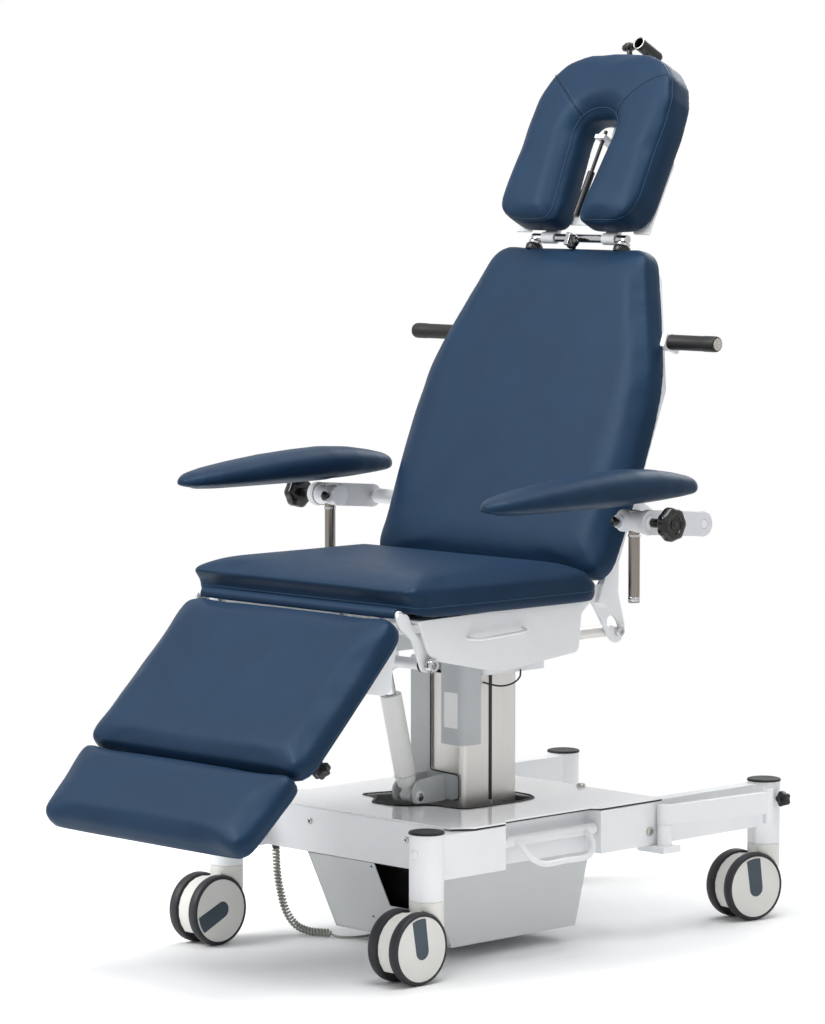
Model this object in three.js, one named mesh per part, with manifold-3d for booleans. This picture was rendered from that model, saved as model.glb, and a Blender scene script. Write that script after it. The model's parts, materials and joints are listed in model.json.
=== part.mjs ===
// Patient recliner chair: wheeled base, lifting column, tilting seat, reclining back,
// leg and foot sections, sliding head support and two adjustable arm supports.
// Millimetres, +Z up. The patient faces -Y and +X is the patient's left.
import * as THREE from 'three';
import { mergeVertices } from 'three/addons/utils/BufferGeometryUtils.js';
import Module from 'manifold-3d';

const wasm = await Module();
wasm.setup();

// ---------------------------------------------------------------- driving dimensions
const GAP = 0.3;                    // between touching pieces
const ORIGIN_Y = 0.93;               // drawing datum to the middle of the footprint

const TRACK_X = 255;                // half distance between the castor stems
const FRONT_Y = -231;               // front castor stems
const REAR_Y = 636;                 // rear castor stems
const LEG_TUBE_R = 30;
const LEG_TUBE_TOP = 252;
const COLLAR_TOP = 137;             // where a leg tube meets its castor
const WHEEL_R = 62.5;
const WHEEL_TRAIL = 45;             // axle ahead of the swivel stem
const WHEEL_INNER = 15;             // half gap between the twin wheels
const WHEEL_OUTER = 36;
const HOOD_R = 57;                  // hood between the wheels, open below
const HOOD_BOTTOM = 24;
const AXLE_R = 6;

const CHASSIS = { x: 225, y0: -162, y1: 349, z0: 168, z1: 248, wall: 4 };
const BLOCK_X = 265;                // outer face of the side blocks
const BLOCK_FRONT_END = -49;
const BLOCK_REAR_START = 190;
const PLATE_T = 3;

const COLUMN = { x: 66, y0: 43, y1: 183, z0: 112, z1: 480, wall: 4, corner: 12 };
const GUIDE = { inset: 6, z0: 28, z1: 440, wall: 5 };

const TILT_AXIS = { y: 185, z: 545 };        // seat on the column head
const TILT_BASE = { y: -25, z: 266 };        // lower pin of the tilt actuator
const TILT_TOP = { y: -83, z: 505 };         // upper pin of the tilt actuator
const KNEE_AXIS = { y: -290, z: 628 };       // leg section hinge, inside the knee roll
const BACK_AXIS = { y: 172, z: 634 };        // back section hinge
const BACK_PIN = { y: 242, z: 559 };         // push rods on the back levers
const HEAD_AXIS = { y: 410.7, z: 1244 };     // head section hinge
const LEG_DROP = 45;                         // degrees below level
const BACK_LEAN = 22.07;                     // degrees behind upright
const HEAD_LEAN = 27.5;
const ARM_PIVOT = { y: 280, z: 757 };        // rear end of an arm carrier
const ARM_HUB = { y: 144, z: 768 };
const POST_X = 384;
const BACK_TRAVEL = 92;                      // push rod millimetres per radian of recline
const LEG_TRAVEL = 71;                       // push rod millimetres per radian of leg lift

const WHITE = 0xeef0f0;
const BLACK = 0x1c1c1e;
const NAVY = 0x33496b;
const GREY = 0xb4b7b8;
const STEEL = 0xb5aea8;

// ---------------------------------------------------------------- geometry helpers
function solid(geometry) {
  const bare = geometry.clone();
  bare.deleteAttribute('normal');
  bare.deleteAttribute('uv');
  const merged = mergeVertices(bare, 1e-4);
  return new wasm.Manifold(new wasm.Mesh({
    numProp: 3,
    vertProperties: new Float32Array(merged.attributes.position.array),
    triVerts: new Uint32Array(merged.index.array),
  }));
}

function toGeometry(manifold) {
  const mesh = manifold.getMesh();
  const geometry = new THREE.BufferGeometry();
  geometry.setAttribute('position', new THREE.BufferAttribute(mesh.vertProperties, 3));
  geometry.setIndex(new THREE.BufferAttribute(mesh.triVerts, 1));
  const flat = geometry.toNonIndexed();
  flat.computeVertexNormals();
  return flat;
}

function join(...geometries) {
  const solids = geometries.map(solid);
  return toGeometry(solids.slice(1).reduce((sum, next) => sum.add(next), solids[0]));
}

function cut(geometry, ...tools) {
  return toGeometry(tools.map(solid).reduce((rest, tool) => rest.subtract(tool), solid(geometry)));
}

function box(x0, x1, y0, y1, z0, z1) {
  const geometry = new THREE.BoxGeometry(x1 - x0, y1 - y0, z1 - z0);
  return geometry.translate((x0 + x1) / 2, (y0 + y1) / 2, (z0 + z1) / 2);
}

function sidesFor(radius) {
  const limits = [4.6, 7, 10.6, 16, 26, 26];
  return 10 + 2 * limits.filter((limit) => radius > limit).length;
}

function rod(radius, from, to, endRadius = radius) {
  const a = new THREE.Vector3(...from);
  const b = new THREE.Vector3(...to);
  const geometry = new THREE.CylinderGeometry(endRadius, radius, a.distanceTo(b), sidesFor(radius));
  const turn = new THREE.Quaternion().setFromUnitVectors(
    new THREE.Vector3(0, 1, 0), b.clone().sub(a).normalize());
  const middle = a.add(b).multiplyScalar(0.5);
  return geometry.applyQuaternion(turn).translate(middle.x, middle.y, middle.z);
}

function outline(points) {
  return new THREE.Shape(points.map(([u, v]) => new THREE.Vector2(u, v)));
}

// A polygon with its corners rounded; each point is [u, v] or [u, v, radius].
function roundedOutline(points, radius) {
  const shape = new THREE.Shape();
  points.forEach(([u, v, own], i) => {
    const here = new THREE.Vector2(u, v);
    const before = new THREE.Vector2(...points.at(i - 1).slice(0, 2));
    const after = new THREE.Vector2(...points[(i + 1) % points.length].slice(0, 2));
    const edge = Math.min(here.distanceTo(before), here.distanceTo(after));
    const reach = Math.min(own ?? radius, 0.48 * edge);
    const start = here.clone().add(before.sub(here).setLength(reach));
    const end = here.clone().add(after.sub(here).setLength(reach));
    if (i === 0) {
      shape.moveTo(start.x, start.y);
    } else {
      shape.lineTo(start.x, start.y);
    }
    shape.quadraticCurveTo(here.x, here.y, end.x, end.y);
  });
  shape.closePath();
  return shape;
}

const ALONG_X = new THREE.Matrix4().makeBasis(
  new THREE.Vector3(0, 1, 0), new THREE.Vector3(0, 0, 1), new THREE.Vector3(1, 0, 0));
const ALONG_Y = new THREE.Matrix4().makeBasis(
  new THREE.Vector3(1, 0, 0), new THREE.Vector3(0, 0, 1), new THREE.Vector3(0, -1, 0));

function extrudeZ(shape, z0, z1, curveSegments = 4) {
  const settings = { depth: z1 - z0, bevelEnabled: false, curveSegments };
  return new THREE.ExtrudeGeometry(shape, settings).translate(0, 0, z0);
}

// A (y, z) outline carried from x0 to x1.
function extrudeX(shape, x0, x1, curveSegments = 4) {
  return extrudeZ(shape, x0, x1, curveSegments).applyMatrix4(ALONG_X);
}

// An (x, z) outline carried from y0 to y1.
function extrudeY(shape, y0, y1, curveSegments = 4) {
  return extrudeZ(shape, -y1, -y0, curveSegments).applyMatrix4(ALONG_Y);
}

// A cushion: an outline with soft edges, lying between z0 and z1.
function pad(shape, z0, z1, edge, curveSegments = 4) {
  const settings = {
    depth: z1 - z0 - 2 * edge, bevelEnabled: true, bevelThickness: edge, bevelSize: edge,
    bevelOffset: -edge, bevelSegments: 3, curveSegments,
  };
  return new THREE.ExtrudeGeometry(shape, settings).translate(0, 0, z0 + edge);
}

// A round bar bent through the points, as one closed solid.
function bentBar(radius, points, steps, sides = 10) {
  const path = new THREE.CatmullRomCurve3(points.map((p) => new THREE.Vector3(...p)));
  const section = new THREE.Shape().absarc(0, 0, radius, 0, Math.PI * 2);
  return new THREE.ExtrudeGeometry(section, {
    steps, extrudePath: path, curveSegments: sides / 2, bevelEnabled: false,
  });
}

// A knob along +Z from 0: stem, then a lobed or round head.
function knob({ lobes, radius, thickness, stemRadius, stemLength }) {
  const points = [];
  for (let i = 0; i < lobes * 4; i += 1) {
    const angle = (i / (lobes * 4)) * Math.PI * 2;
    const reach = radius * (1 - 0.1 * (1 - Math.cos(angle * lobes)));
    points.push([reach * Math.cos(angle), reach * Math.sin(angle)]);
  }
  return join(
    rod(stemRadius, [0, 0, 0], [0, 0, stemLength + 1]),
    extrudeZ(outline(points), stemLength, stemLength + thickness),
  );
}

// Holes that trace a cam slot: where a straight-moving pin meets a turning lever.
function camSlot({ radius, x0, x1, pinY, pinZ, travel, turned, from, to, steps }) {
  const holes = [];
  for (let i = 0; i <= steps; i += 1) {
    const angle = from + ((to - from) * i) / steps;
    const y = pinY - travel * angle;
    const total = turned + angle;
    const across = y * Math.cos(total) - pinZ * Math.sin(total);
    const up = y * Math.sin(total) + pinZ * Math.cos(total);
    holes.push(rod(radius, [x0, across, up], [x1, across, up]));
  }
  return holes;
}

const chair = new THREE.Group();
chair.position.y = -ORIGIN_Y;

function addTo(parent, name, geometry, color, roughness, metalness = 0) {
  const material = new THREE.MeshStandardMaterial({ color, roughness, metalness });
  const mesh = new THREE.Mesh(geometry, material);
  mesh.name = name;
  parent.add(mesh);
  return mesh;
}

function section(axis, degrees) {
  const group = new THREE.Group();
  group.position.set(0, axis.y, axis.z);
  group.rotation.x = THREE.MathUtils.degToRad(degrees);
  chair.add(group);
  return group;
}

const SIDES = [{ tag: 'left', sign: 1 }, { tag: 'right', sign: -1 }];

// ---------------------------------------------------------------- wheeled base
function legTube(x, y) {
  const tube = rod(LEG_TUBE_R, [x, y, COLLAR_TOP + GAP], [x, y, LEG_TUBE_TOP]);
  return tube;
}

function chassis() {
  const { x, y0, y1, z0, z1, wall } = CHASSIS;
  const pieces = [box(-x, x, y0, y1, z0, z1)];
  for (const sign of [1, -1]) {
    const inner = sign * (x - 2);
    const outer = sign * BLOCK_X;
    const [xa, xb] = [Math.min(inner, outer), Math.max(inner, outer)];
    pieces.push(box(xa, xb, FRONT_Y, BLOCK_FRONT_END, z0, z1 - 3));
    pieces.push(box(xa, xb, BLOCK_REAR_START, y1, z0, z1 - 3));
    const [la, lb] = [Math.min(sign * 234, sign * 262), Math.max(sign * 234, sign * 262)];
    pieces.push(box(la, lb, y1 - 5, REAR_Y, z0, z1));
    pieces.push(legTube(sign * TRACK_X, FRONT_Y), legTube(sign * TRACK_X, REAR_Y));
  }
  const stems = [];
  for (const sign of [1, -1]) {
    for (const y of [FRONT_Y, REAR_Y]) {
      stems.push(rod(10.4, [sign * TRACK_X, y, 130], [sign * TRACK_X, y, 205]));
    }
  }
  return cut(
    join(...pieces),
    box(-x + wall, x - wall, y0 + wall, y1 - wall, z0 + wall, z1 + 5),
    box(-117, 167, -90, 220, z0 - 5, z0 + wall + 5),
    ...stems,
  );
}

// The opening lets the column and its front bracket sink through the cover.
const OPENING = [
  [-110, 60], [-130, -4, 8], [-92, -22, 8], [-60, -62], [4, -64], [34, -44], [46, -12], [104, -6, 22],
  [118, 60], [116, 150], [96, 196], [-80, 200],
];

function coverPlate() {
  const { x, y0, y1, z1 } = CHASSIS;
  const plate = new THREE.Shape([
    [-x - 14, y0], [x + 14, y0], [BLOCK_X, y0 + 36], [BLOCK_X, BLOCK_FRONT_END],
    [x + 26, BLOCK_FRONT_END + 14],
    [x + 26, BLOCK_REAR_START - 14], [BLOCK_X, BLOCK_REAR_START], [BLOCK_X, y1], [-BLOCK_X, y1],
    [-BLOCK_X, BLOCK_REAR_START], [-x - 26, BLOCK_REAR_START - 14], [-x - 26, BLOCK_FRONT_END + 14],
    [-BLOCK_X, BLOCK_FRONT_END], [-BLOCK_X, y0 + 36],
  ].map(([u, v]) => new THREE.Vector2(u, v)));
  plate.holes.push(roundedOutline(OPENING, 16));
  return extrudeZ(plate, z1 + GAP, z1 + GAP + PLATE_T, 3);
}

const BELLY = { x0: -122, x1: 172, z0: 24, z1: 167.6, wall: 2.5 };

function bellyPan() {
  const { x0, x1, z0, z1, wall } = BELLY;
  const side = outline([[-88, z0], [222, z0], [262, z1], [-158, z1]]);
  const hollow = outline([[-110, z0 + wall], [219, z0 + wall], [257, z1 + 5], [-190, z1 + 5]]);
  const shell = cut(extrudeX(side, x0, x1), extrudeX(hollow, x0 + wall, x1 - wall));
  return join(
    shell,
    box(x0 + 1, x0 + 40, -30, 30, z0 + 1, z0 + 12),
  );
}

function batteryBox() {
  return cut(
    extrudeX(roundedOutline([[-76, 38], [-6, 38], [-6, 158], [-100, 158]], 8), -60, 120),
    box(-40, 100, -120, -88, 112, 146),
  );
}

function guideColumn() {
  const { x, y0, y1, corner } = COLUMN;
  const { inset, z0, z1, wall } = GUIDE;
  const ring = (shrink) => roundedOutline([
    [-x + shrink, y0 + shrink], [x - shrink, y0 + shrink],
    [x - shrink, y1 - shrink], [-x + shrink, y1 - shrink]], corner - 4);
  const shape = ring(inset);
  shape.holes.push(ring(inset + wall));
  return extrudeZ(shape, z0, z1, 3);
}

addTo(chair, 'chassis', chassis(), WHITE, 0.35);
addTo(chair, 'cover_plate', coverPlate(), WHITE, 0.12);
addTo(chair, 'belly_pan', bellyPan(), GREY, 0.45);
addTo(chair, 'battery_box', batteryBox(), BLACK, 0.6);
addTo(chair, 'guide_column', guideColumn(), STEEL, 0.4, 0.8);

// ---------------------------------------------------------------- castors
function castorFork() {
  const reach = WHEEL_R + 1.5;
  const web = WHEEL_INNER - 1;
  const body = join(
    rod(LEG_TUBE_R, [0, 0, 92], [0, 0, COLLAR_TOP]),
    rod(10, [0, 0, COLLAR_TOP - 1], [0, 0, 200]),
    rod(HOOD_R, [-web, -WHEEL_TRAIL, WHEEL_R], [web, -WHEEL_TRAIL, WHEEL_R]),
    box(-web, web, -WHEEL_TRAIL, 24, WHEEL_R + 10, 118),
  );
  return cut(
    body,
    box(-60, 60, -140, 60, -5, HOOD_BOTTOM),
    rod(reach, [web, -WHEEL_TRAIL, WHEEL_R], [60, -WHEEL_TRAIL, WHEEL_R]),
    rod(reach, [-60, -WHEEL_TRAIL, WHEEL_R], [-web, -WHEEL_TRAIL, WHEEL_R]),
    rod(AXLE_R + GAP, [-20, -WHEEL_TRAIL, WHEEL_R], [20, -WHEEL_TRAIL, WHEEL_R]),
  );
}

function wheelPair() {
  const profile = [
    [0, WHEEL_INNER], [57, WHEEL_INNER], [WHEEL_R, WHEEL_INNER + 6],
    [WHEEL_R, WHEEL_OUTER - 8], [54, WHEEL_OUTER], [0, WHEEL_OUTER]];
  const wheel = new THREE.LatheGeometry(profile.map(([r, h]) => new THREE.Vector2(r, h)), 24);
  const one = wheel.clone().rotateZ(-Math.PI / 2);
  const other = wheel.clone().rotateZ(Math.PI / 2);
  const axle = rod(AXLE_R, [-WHEEL_INNER - 1, 0, 0], [WHEEL_INNER + 1, 0, 0]);
  return join(one, other, axle).translate(0, -WHEEL_TRAIL, WHEEL_R);
}

const CASTORS = [
  { tag: 'front_left', x: TRACK_X, y: FRONT_Y, turn: 0 },
  { tag: 'front_right', x: -TRACK_X, y: FRONT_Y, turn: 0 },
  { tag: 'rear_left', x: TRACK_X, y: REAR_Y, turn: -10 },
  { tag: 'rear_right', x: -TRACK_X, y: REAR_Y, turn: 0 },
];
for (const { tag, x, y, turn } of CASTORS) {
  const castor = new THREE.Group();
  castor.position.set(x, y, 0);
  castor.rotation.z = THREE.MathUtils.degToRad(turn);
  chair.add(castor);
  addTo(castor, `castor_fork_${tag}`, castorFork(), 0xdedbd2, 0.5);
  addTo(castor, `castor_wheels_${tag}`, wheelPair(), 0xc4c4c0, 0.55);
}

// ---------------------------------------------------------------- brake pedals
const BRAKE = { x: 249, z: 212, shaftR: 10 };

function brakePedal() {
  const { x, z, shaftR } = BRAKE;
  const loop = bentBar(5.5, [
    [x + 4, -17, z], [x + 20, -15, z - 6], [x + 35, -9, z - 24], [x + 43, 12, z - 37],
    [x + 43, 70.5, z - 38], [x + 43, 129, z - 37], [x + 35, 150, z - 24], [x + 20, 156, z - 6],
    [x + 4, 158, z]], 16, 8);
  const shaft = rod(shaftR, [x, BLOCK_FRONT_END + 2, z], [x, BLOCK_REAR_START - 2, z]);
  return join(shaft, loop);
}

for (const { tag, sign } of SIDES) {
  const pedal = brakePedal();
  const placed = sign > 0 ? pedal : pedal.rotateZ(Math.PI).translate(0, 141, 0);
  addTo(chair, `brake_pedal_${tag}`, placed, WHITE, 0.4);
}

// ---------------------------------------------------------------- pole holder
const POLE_POST = { x: 281, y: 338, r: 13 };
const POLE_SOCKET = { x: 303, y: 593, r: 10 };

function poleBracket() {
  const { x, y, r } = POLE_POST;
  return join(
    box(BLOCK_X - 30, x + 18, y - 22, y + 24, 156, 167.6),
    rod(r, [x, y, 160], [x, y, 206]),
    rod(7, [x, y, 205], [x, y, 236]),
  );
}

function poleArm() {
  const { x, y, r } = POLE_POST;
  const hub = rod(r, [x, y, 206 + GAP], [x, y, 241]);
  const reach = Math.hypot(POLE_SOCKET.x - x, POLE_SOCKET.y - y);
  const bar = extrudeX(roundedOutline([[0, 207], [reach, 200], [reach, 240], [0, 240]], 6), -6, 6, 2);
  bar.rotateZ(-Math.atan2(POLE_SOCKET.x - x, POLE_SOCKET.y - y)).translate(x, y, 0);
  const socket = rod(POLE_SOCKET.r, [POLE_SOCKET.x, POLE_SOCKET.y, 182], [POLE_SOCKET.x, POLE_SOCKET.y, 246]);
  return cut(
    join(hub, bar, socket),
    rod(7 + GAP, [x, y, 200], [x, y, 237]),
    rod(6.5, [POLE_SOCKET.x, POLE_SOCKET.y, 190], [POLE_SOCKET.x, POLE_SOCKET.y, 250]),
    rod(3 + GAP, [POLE_SOCKET.x, POLE_SOCKET.y, 222], [POLE_SOCKET.x, POLE_SOCKET.y + 20, 222]),
  );
}

addTo(chair, 'pole_bracket', poleBracket(), WHITE, 0.35);
addTo(chair, 'pole_arm', poleArm(), WHITE, 0.35);
const poleKnob = knob({ lobes: 5, radius: 15, thickness: 14, stemRadius: 3, stemLength: 28 });
poleKnob.rotateX(-Math.PI / 2).translate(POLE_SOCKET.x, POLE_SOCKET.y + 7, 222);
addTo(chair, 'pole_knob', poleKnob, BLACK, 0.4);

// ---------------------------------------------------------------- coiled lead
const COIL_R = 7.5;
const LEAD_R = 2.3;
const COIL_ROUTE = [
  [-255, -112, 149], [-252, -112, 112], [-243, -112, 74], [-229, -111, 40], [-207, -107, 17],
  [-180, -100, COIL_R + 1], [-154, -91, COIL_R + 1], [-139, -85, COIL_R + 1]];
const LEAD_ROUTE = [
  [-138.3, -84.8, 6], [-124, -82, LEAD_R + 1], [-108, -72, LEAD_R + 0.8], [-97, -52, LEAD_R + 0.8],
  [-91, -28, 5], [-87, -8, 14], [-86, -2, 21]];

addTo(chair, 'cord_gland', join(
  rod(11, [-255, -112, 162], [-255, -112, 167.7]),
  rod(6, [-255, -112, 150.3], [-255, -112, 163], 9),
), BLACK, 0.6);
addTo(chair, 'coiled_cord', bentBar(COIL_R, COIL_ROUTE, 20, 10), 0x85867e, 0.6);
addTo(chair, 'cord_lead', bentBar(LEAD_R, LEAD_ROUTE, 18, 8), 0x55554f, 0.6);

// ---------------------------------------------------------------- lifting column
function outerColumn() {
  const { x, y0, y1, z0, z1, wall, corner } = COLUMN;
  const ring = (shrink) => roundedOutline([
    [-x + shrink, y0 + shrink], [x - shrink, y0 + shrink],
    [x - shrink, y1 - shrink], [-x + shrink, y1 - shrink]], corner - shrink / 2);
  const shape = ring(0);
  shape.holes.push(ring(wall));
  const middle = (y0 + y1) / 2;
  return cut(
    extrudeZ(shape, z0, z1, 3),
    box(x - 2, x + 5, middle - 4, middle + 4, z0 - 5, z1 + 5),
    box(-x - 5, -x + 2, middle - 4, middle + 4, z0 - 5, z1 + 5),
  );
}

// Front sheet on the column with the two ears that hold the tilt actuator.
function actuatorBracket() {
  const front = COLUMN.y0 - GAP;
  const ear = roundedOutline([[front - 1, 254], [-38, 254], [-42, 281], [-26, 296], [front - 1, 301]], 9);
  const sheet = roundedOutline([[-62, 256], [60, 256], [60, 302], [-11, 306], [-11, 508], [-62, 508]], 8);
  return join(
    extrudeY(sheet, front - 3, front),
    extrudeX(ear, 22, 27),
    extrudeX(ear, -27, -22),
    rod(5, [-30, TILT_BASE.y, TILT_BASE.z], [30, TILT_BASE.y, TILT_BASE.z]),
  );
}

// Column motor housing, wrapped round the near front corner.
function motorHousing() {
  return cut(
    extrudeZ(roundedOutline([[37, 10], [100, 10], [100, 64], [37, 64]], 17), 360, 506),
    box(-100, COLUMN.x + GAP, COLUMN.y0 - 3 - 2 * GAP, 200, 300, 500),
  );
}

function columnHead() {
  const { y, z } = TILT_AXIS;
  const bottom = COLUMN.z1 + GAP;
  const block = roundedOutline([[-96, 66], [96, 66], [96, 226], [-96, 226]], 14);
  const pieces = [extrudeZ(block, bottom, bottom + 20)];
  for (const side of [-1, 1]) {
    const cheek = roundedOutline([
      [y - 34, bottom + 10], [y + 26, bottom + 10], [y + 20, z + 19], [y - 22, z + 19]], 9);
    pieces.push(extrudeX(cheek, side * 86 - 5, side * 86 + 5));
  }
  return cut(join(...pieces), rod(12 + GAP, [-120, y, z], [120, y, z]));
}

addTo(chair, 'outer_column', outerColumn(), STEEL, 0.35, 0.9);
addTo(chair, 'actuator_bracket', actuatorBracket(), GREY, 0.4, 0.5);
addTo(chair, 'motor_housing', motorHousing(), 0xa9aeb1, 0.4);
addTo(chair, 'column_head', columnHead(), WHITE, 0.35);

// ---------------------------------------------------------------- tilt actuator
function pointOnActuator(distance) {
  const dy = TILT_TOP.y - TILT_BASE.y;
  const dz = TILT_TOP.z - TILT_BASE.z;
  const length = Math.hypot(dy, dz);
  return [0, TILT_BASE.y + (dy / length) * distance, TILT_BASE.z + (dz / length) * distance];
}

const TILT_LENGTH = Math.hypot(TILT_TOP.y - TILT_BASE.y, TILT_TOP.z - TILT_BASE.z);

function tiltCylinder() {
  const { y, z } = TILT_BASE;
  return cut(
    join(
      rod(11, [-12, y, z], [12, y, z]),
      rod(11, pointOnActuator(0), pointOnActuator(26)),
      rod(16, pointOnActuator(20), pointOnActuator(40), 19),
      rod(19, pointOnActuator(39), pointOnActuator(190)),
    ),
    rod(5 + GAP, [-30, y, z], [30, y, z]),
    rod(10 + GAP, pointOnActuator(92), pointOnActuator(200)),
  );
}

function tiltRod() {
  const { y, z } = TILT_TOP;
  return cut(
    join(
      rod(10, pointOnActuator(96), pointOnActuator(TILT_LENGTH)),
      rod(13, [-12, y, z], [12, y, z]),
    ),
    rod(7, [-30, y, z], [30, y, z]),
  );
}

addTo(chair, 'tilt_cylinder', tiltCylinder(), 0xe4e2dc, 0.35);
addTo(chair, 'tilt_rod', tiltRod(), STEEL, 0.25, 0.9);

// ---------------------------------------------------------------- seat
const RAIL = { x: 150, half: 12, y0: -240, y1: 135, z0: 580, z1: 611 };
const PLATE_X = 252;                // seat hinge plates of the leg section, inner face
const BACK_PLATE_X = 247.6;         // back levers, inner face
const PUSH_ROD = { x: 235.5, r: 11 };
const LEG_DRIVE_X = 110;
const LEG_DRIVE_Z = KNEE_AXIS.z - 60;

function seatFrame() {
  const pieces = [];
  for (const sign of [-1, 1]) {
    const railX = sign * RAIL.x;
    pieces.push(box(railX - RAIL.half, railX + RAIL.half, RAIL.y0, RAIL.y1, RAIL.z0, RAIL.z1));
    const front = roundedOutline([
      [KNEE_AXIS.y - 13, KNEE_AXIS.z + 2], [KNEE_AXIS.y + 13, KNEE_AXIS.z + 2],
      [-264, 600], [-214, 548], [-220, 526], [-243, 527], [-266, 584], [-298, 607]], 8);
    const plateInner = sign * PLATE_X;
    const plateOuter = sign * (PLATE_X + 5);
    pieces.push(extrudeX(front, Math.min(plateInner, plateOuter), Math.max(plateInner, plateOuter)));
    pieces.push(rod(8, [sign * 251, -230, 539], [sign * 263, -230, 539]));
    const bracket = roundedOutline([
      [92, 585], [150, 590], [BACK_AXIS.y + 15, BACK_AXIS.z - 14], [BACK_AXIS.y + 15, BACK_AXIS.z + 14],
      [BACK_AXIS.y - 12, BACK_AXIS.z + 14], [138, 616], [92, 616]], 6);
    const inner = sign * 240;
    const outer = sign * 246.6;
    pieces.push(extrudeX(bracket, Math.min(inner, outer), Math.max(inner, outer)));
    pieces.push(rod(6, [inner, BACK_AXIS.y, BACK_AXIS.z], [sign * 257, BACK_AXIS.y, BACK_AXIS.z]));
    const lug = roundedOutline([
      [TILT_TOP.y - 14, 600], [TILT_TOP.y - 14, TILT_TOP.z - 6], [TILT_TOP.y + 14, TILT_TOP.z - 6],
      [TILT_TOP.y + 14, 600]], 5);
    pieces.push(extrudeX(lug, sign > 0 ? 14 : -20, sign > 0 ? 20 : -14));
    const hanger = roundedOutline([
      [60, 600], [150, 534], [TILT_AXIS.y + 16, 534], [TILT_AXIS.y + 16, 556], [135, 600]], 6);
    pieces.push(extrudeX(hanger, sign > 0 ? 98 : -106, sign > 0 ? 106 : -98));
    pieces.push(box(Math.min(sign * 98, sign * 140), Math.max(sign * 98, sign * 140), 70, 130, 590, 612));
  }
  pieces.push(rod(4.5, [-16, TILT_TOP.y, TILT_TOP.z], [16, TILT_TOP.y, TILT_TOP.z]));
  pieces.push(box(-RAIL.x, RAIL.x, TILT_TOP.y - 15, TILT_TOP.y + 15, 592, 612));
  pieces.push(box(-243, 243, 96, 128, 594, 614));
  pieces.push(rod(10, [-PLATE_X - 2, -230, 539], [PLATE_X + 2, -230, 539]));
  pieces.push(rod(12, [-104, TILT_AXIS.y, TILT_AXIS.z], [104, TILT_AXIS.y, TILT_AXIS.z]));
  for (const sign of [-1, 1]) {
    const strut = outline([[-236, 540], [-224, 532], [-200, 584], [-215, 590]]);
    pieces.push(extrudeX(strut, sign * RAIL.x - 8, sign * RAIL.x + 8));
  }
  return join(...pieces);
}

// Skirts, front apron and top sheet, open below, with a wire loop on each side.
function seatPan() {
  const side = roundedOutline([[-262, 617], [138, 624], [128, 533, 12], [-69, 514, 30], [-236, 549, 24]], 8);
  const inside = outline([[-300, 612], [200, 618], [200, 480], [-300, 480]]);
  const shell = cut(
    extrudeX(side, -268, 268),
    extrudeX(inside, -264, 264),
  );
  const pieces = [shell];
  for (const sign of [-1, 1]) {
    const loop = [
      [sign * 266, -146, 580], [sign * 279, -144, 578], [sign * 284, -132, 577], [sign * 284, -78, 579],
      [sign * 284, -26, 582], [sign * 279, -14, 583], [sign * 266, -12, 585]];
    pieces.push(bentBar(3.2, loop, 16, 8));
  }
  return join(...pieces);
}

function seatCushion() {
  const shape = roundedOutline([
    [-282, -273, 30], [282, -273, 30], [290, -60, 60],
    [290, 139, 34], [-290, 139, 34], [-290, -60, 60]], 30);
  return pad(shape, 627, 688, 20, 4);
}

function actuatorBody(x, y0, y1, z, boreDepth) {
  const boreStart = boreDepth < 0 ? y0 - 5 : y1 - boreDepth;
  const boreEnd = boreDepth < 0 ? y0 - boreDepth : y1 + 5;
  return cut(
    join(
      rod(20, [x, y0, z], [x, y1, z]),
      box(x - 22, x + 22, y0 + 6, y0 + 70, z - 20, z + 8),
    ),
    rod(9 + GAP, [x, boreStart, z], [x, boreEnd, z]),
  );
}

addTo(chair, 'seat_frame', seatFrame(), WHITE, 0.4);
addTo(chair, 'seat_pan', seatPan(), WHITE, 0.35);
addTo(chair, 'seat_cushion', seatCushion(), NAVY, 0.5);

// Leg drive: a push rod whose cross pin rides in the slot of the leg lever.
addTo(chair, 'leg_actuator', actuatorBody(LEG_DRIVE_X, -200, -20, LEG_DRIVE_Z, -130), GREY, 0.5);
addTo(chair, 'leg_rod', join(
  rod(9, [LEG_DRIVE_X, -84, LEG_DRIVE_Z], [LEG_DRIVE_X, KNEE_AXIS.y + 30, LEG_DRIVE_Z]),
  box(LEG_DRIVE_X - 9, LEG_DRIVE_X - 5, KNEE_AXIS.y - 7, KNEE_AXIS.y + 36, LEG_DRIVE_Z - 7, LEG_DRIVE_Z + 7),
  box(LEG_DRIVE_X + 5, LEG_DRIVE_X + 9, KNEE_AXIS.y - 7, KNEE_AXIS.y + 36, LEG_DRIVE_Z - 7, LEG_DRIVE_Z + 7),
  rod(4, [LEG_DRIVE_X - 9, KNEE_AXIS.y, LEG_DRIVE_Z], [LEG_DRIVE_X + 9, KNEE_AXIS.y, LEG_DRIVE_Z]),
), STEEL, 0.3, 0.9);

// Back drive: two rods on one yoke, pinned in the slots of the back levers.
addTo(chair, 'back_actuator', actuatorBody(-LEG_DRIVE_X, -214, -90, BACK_PIN.z, 118), GREY, 0.5);

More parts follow.
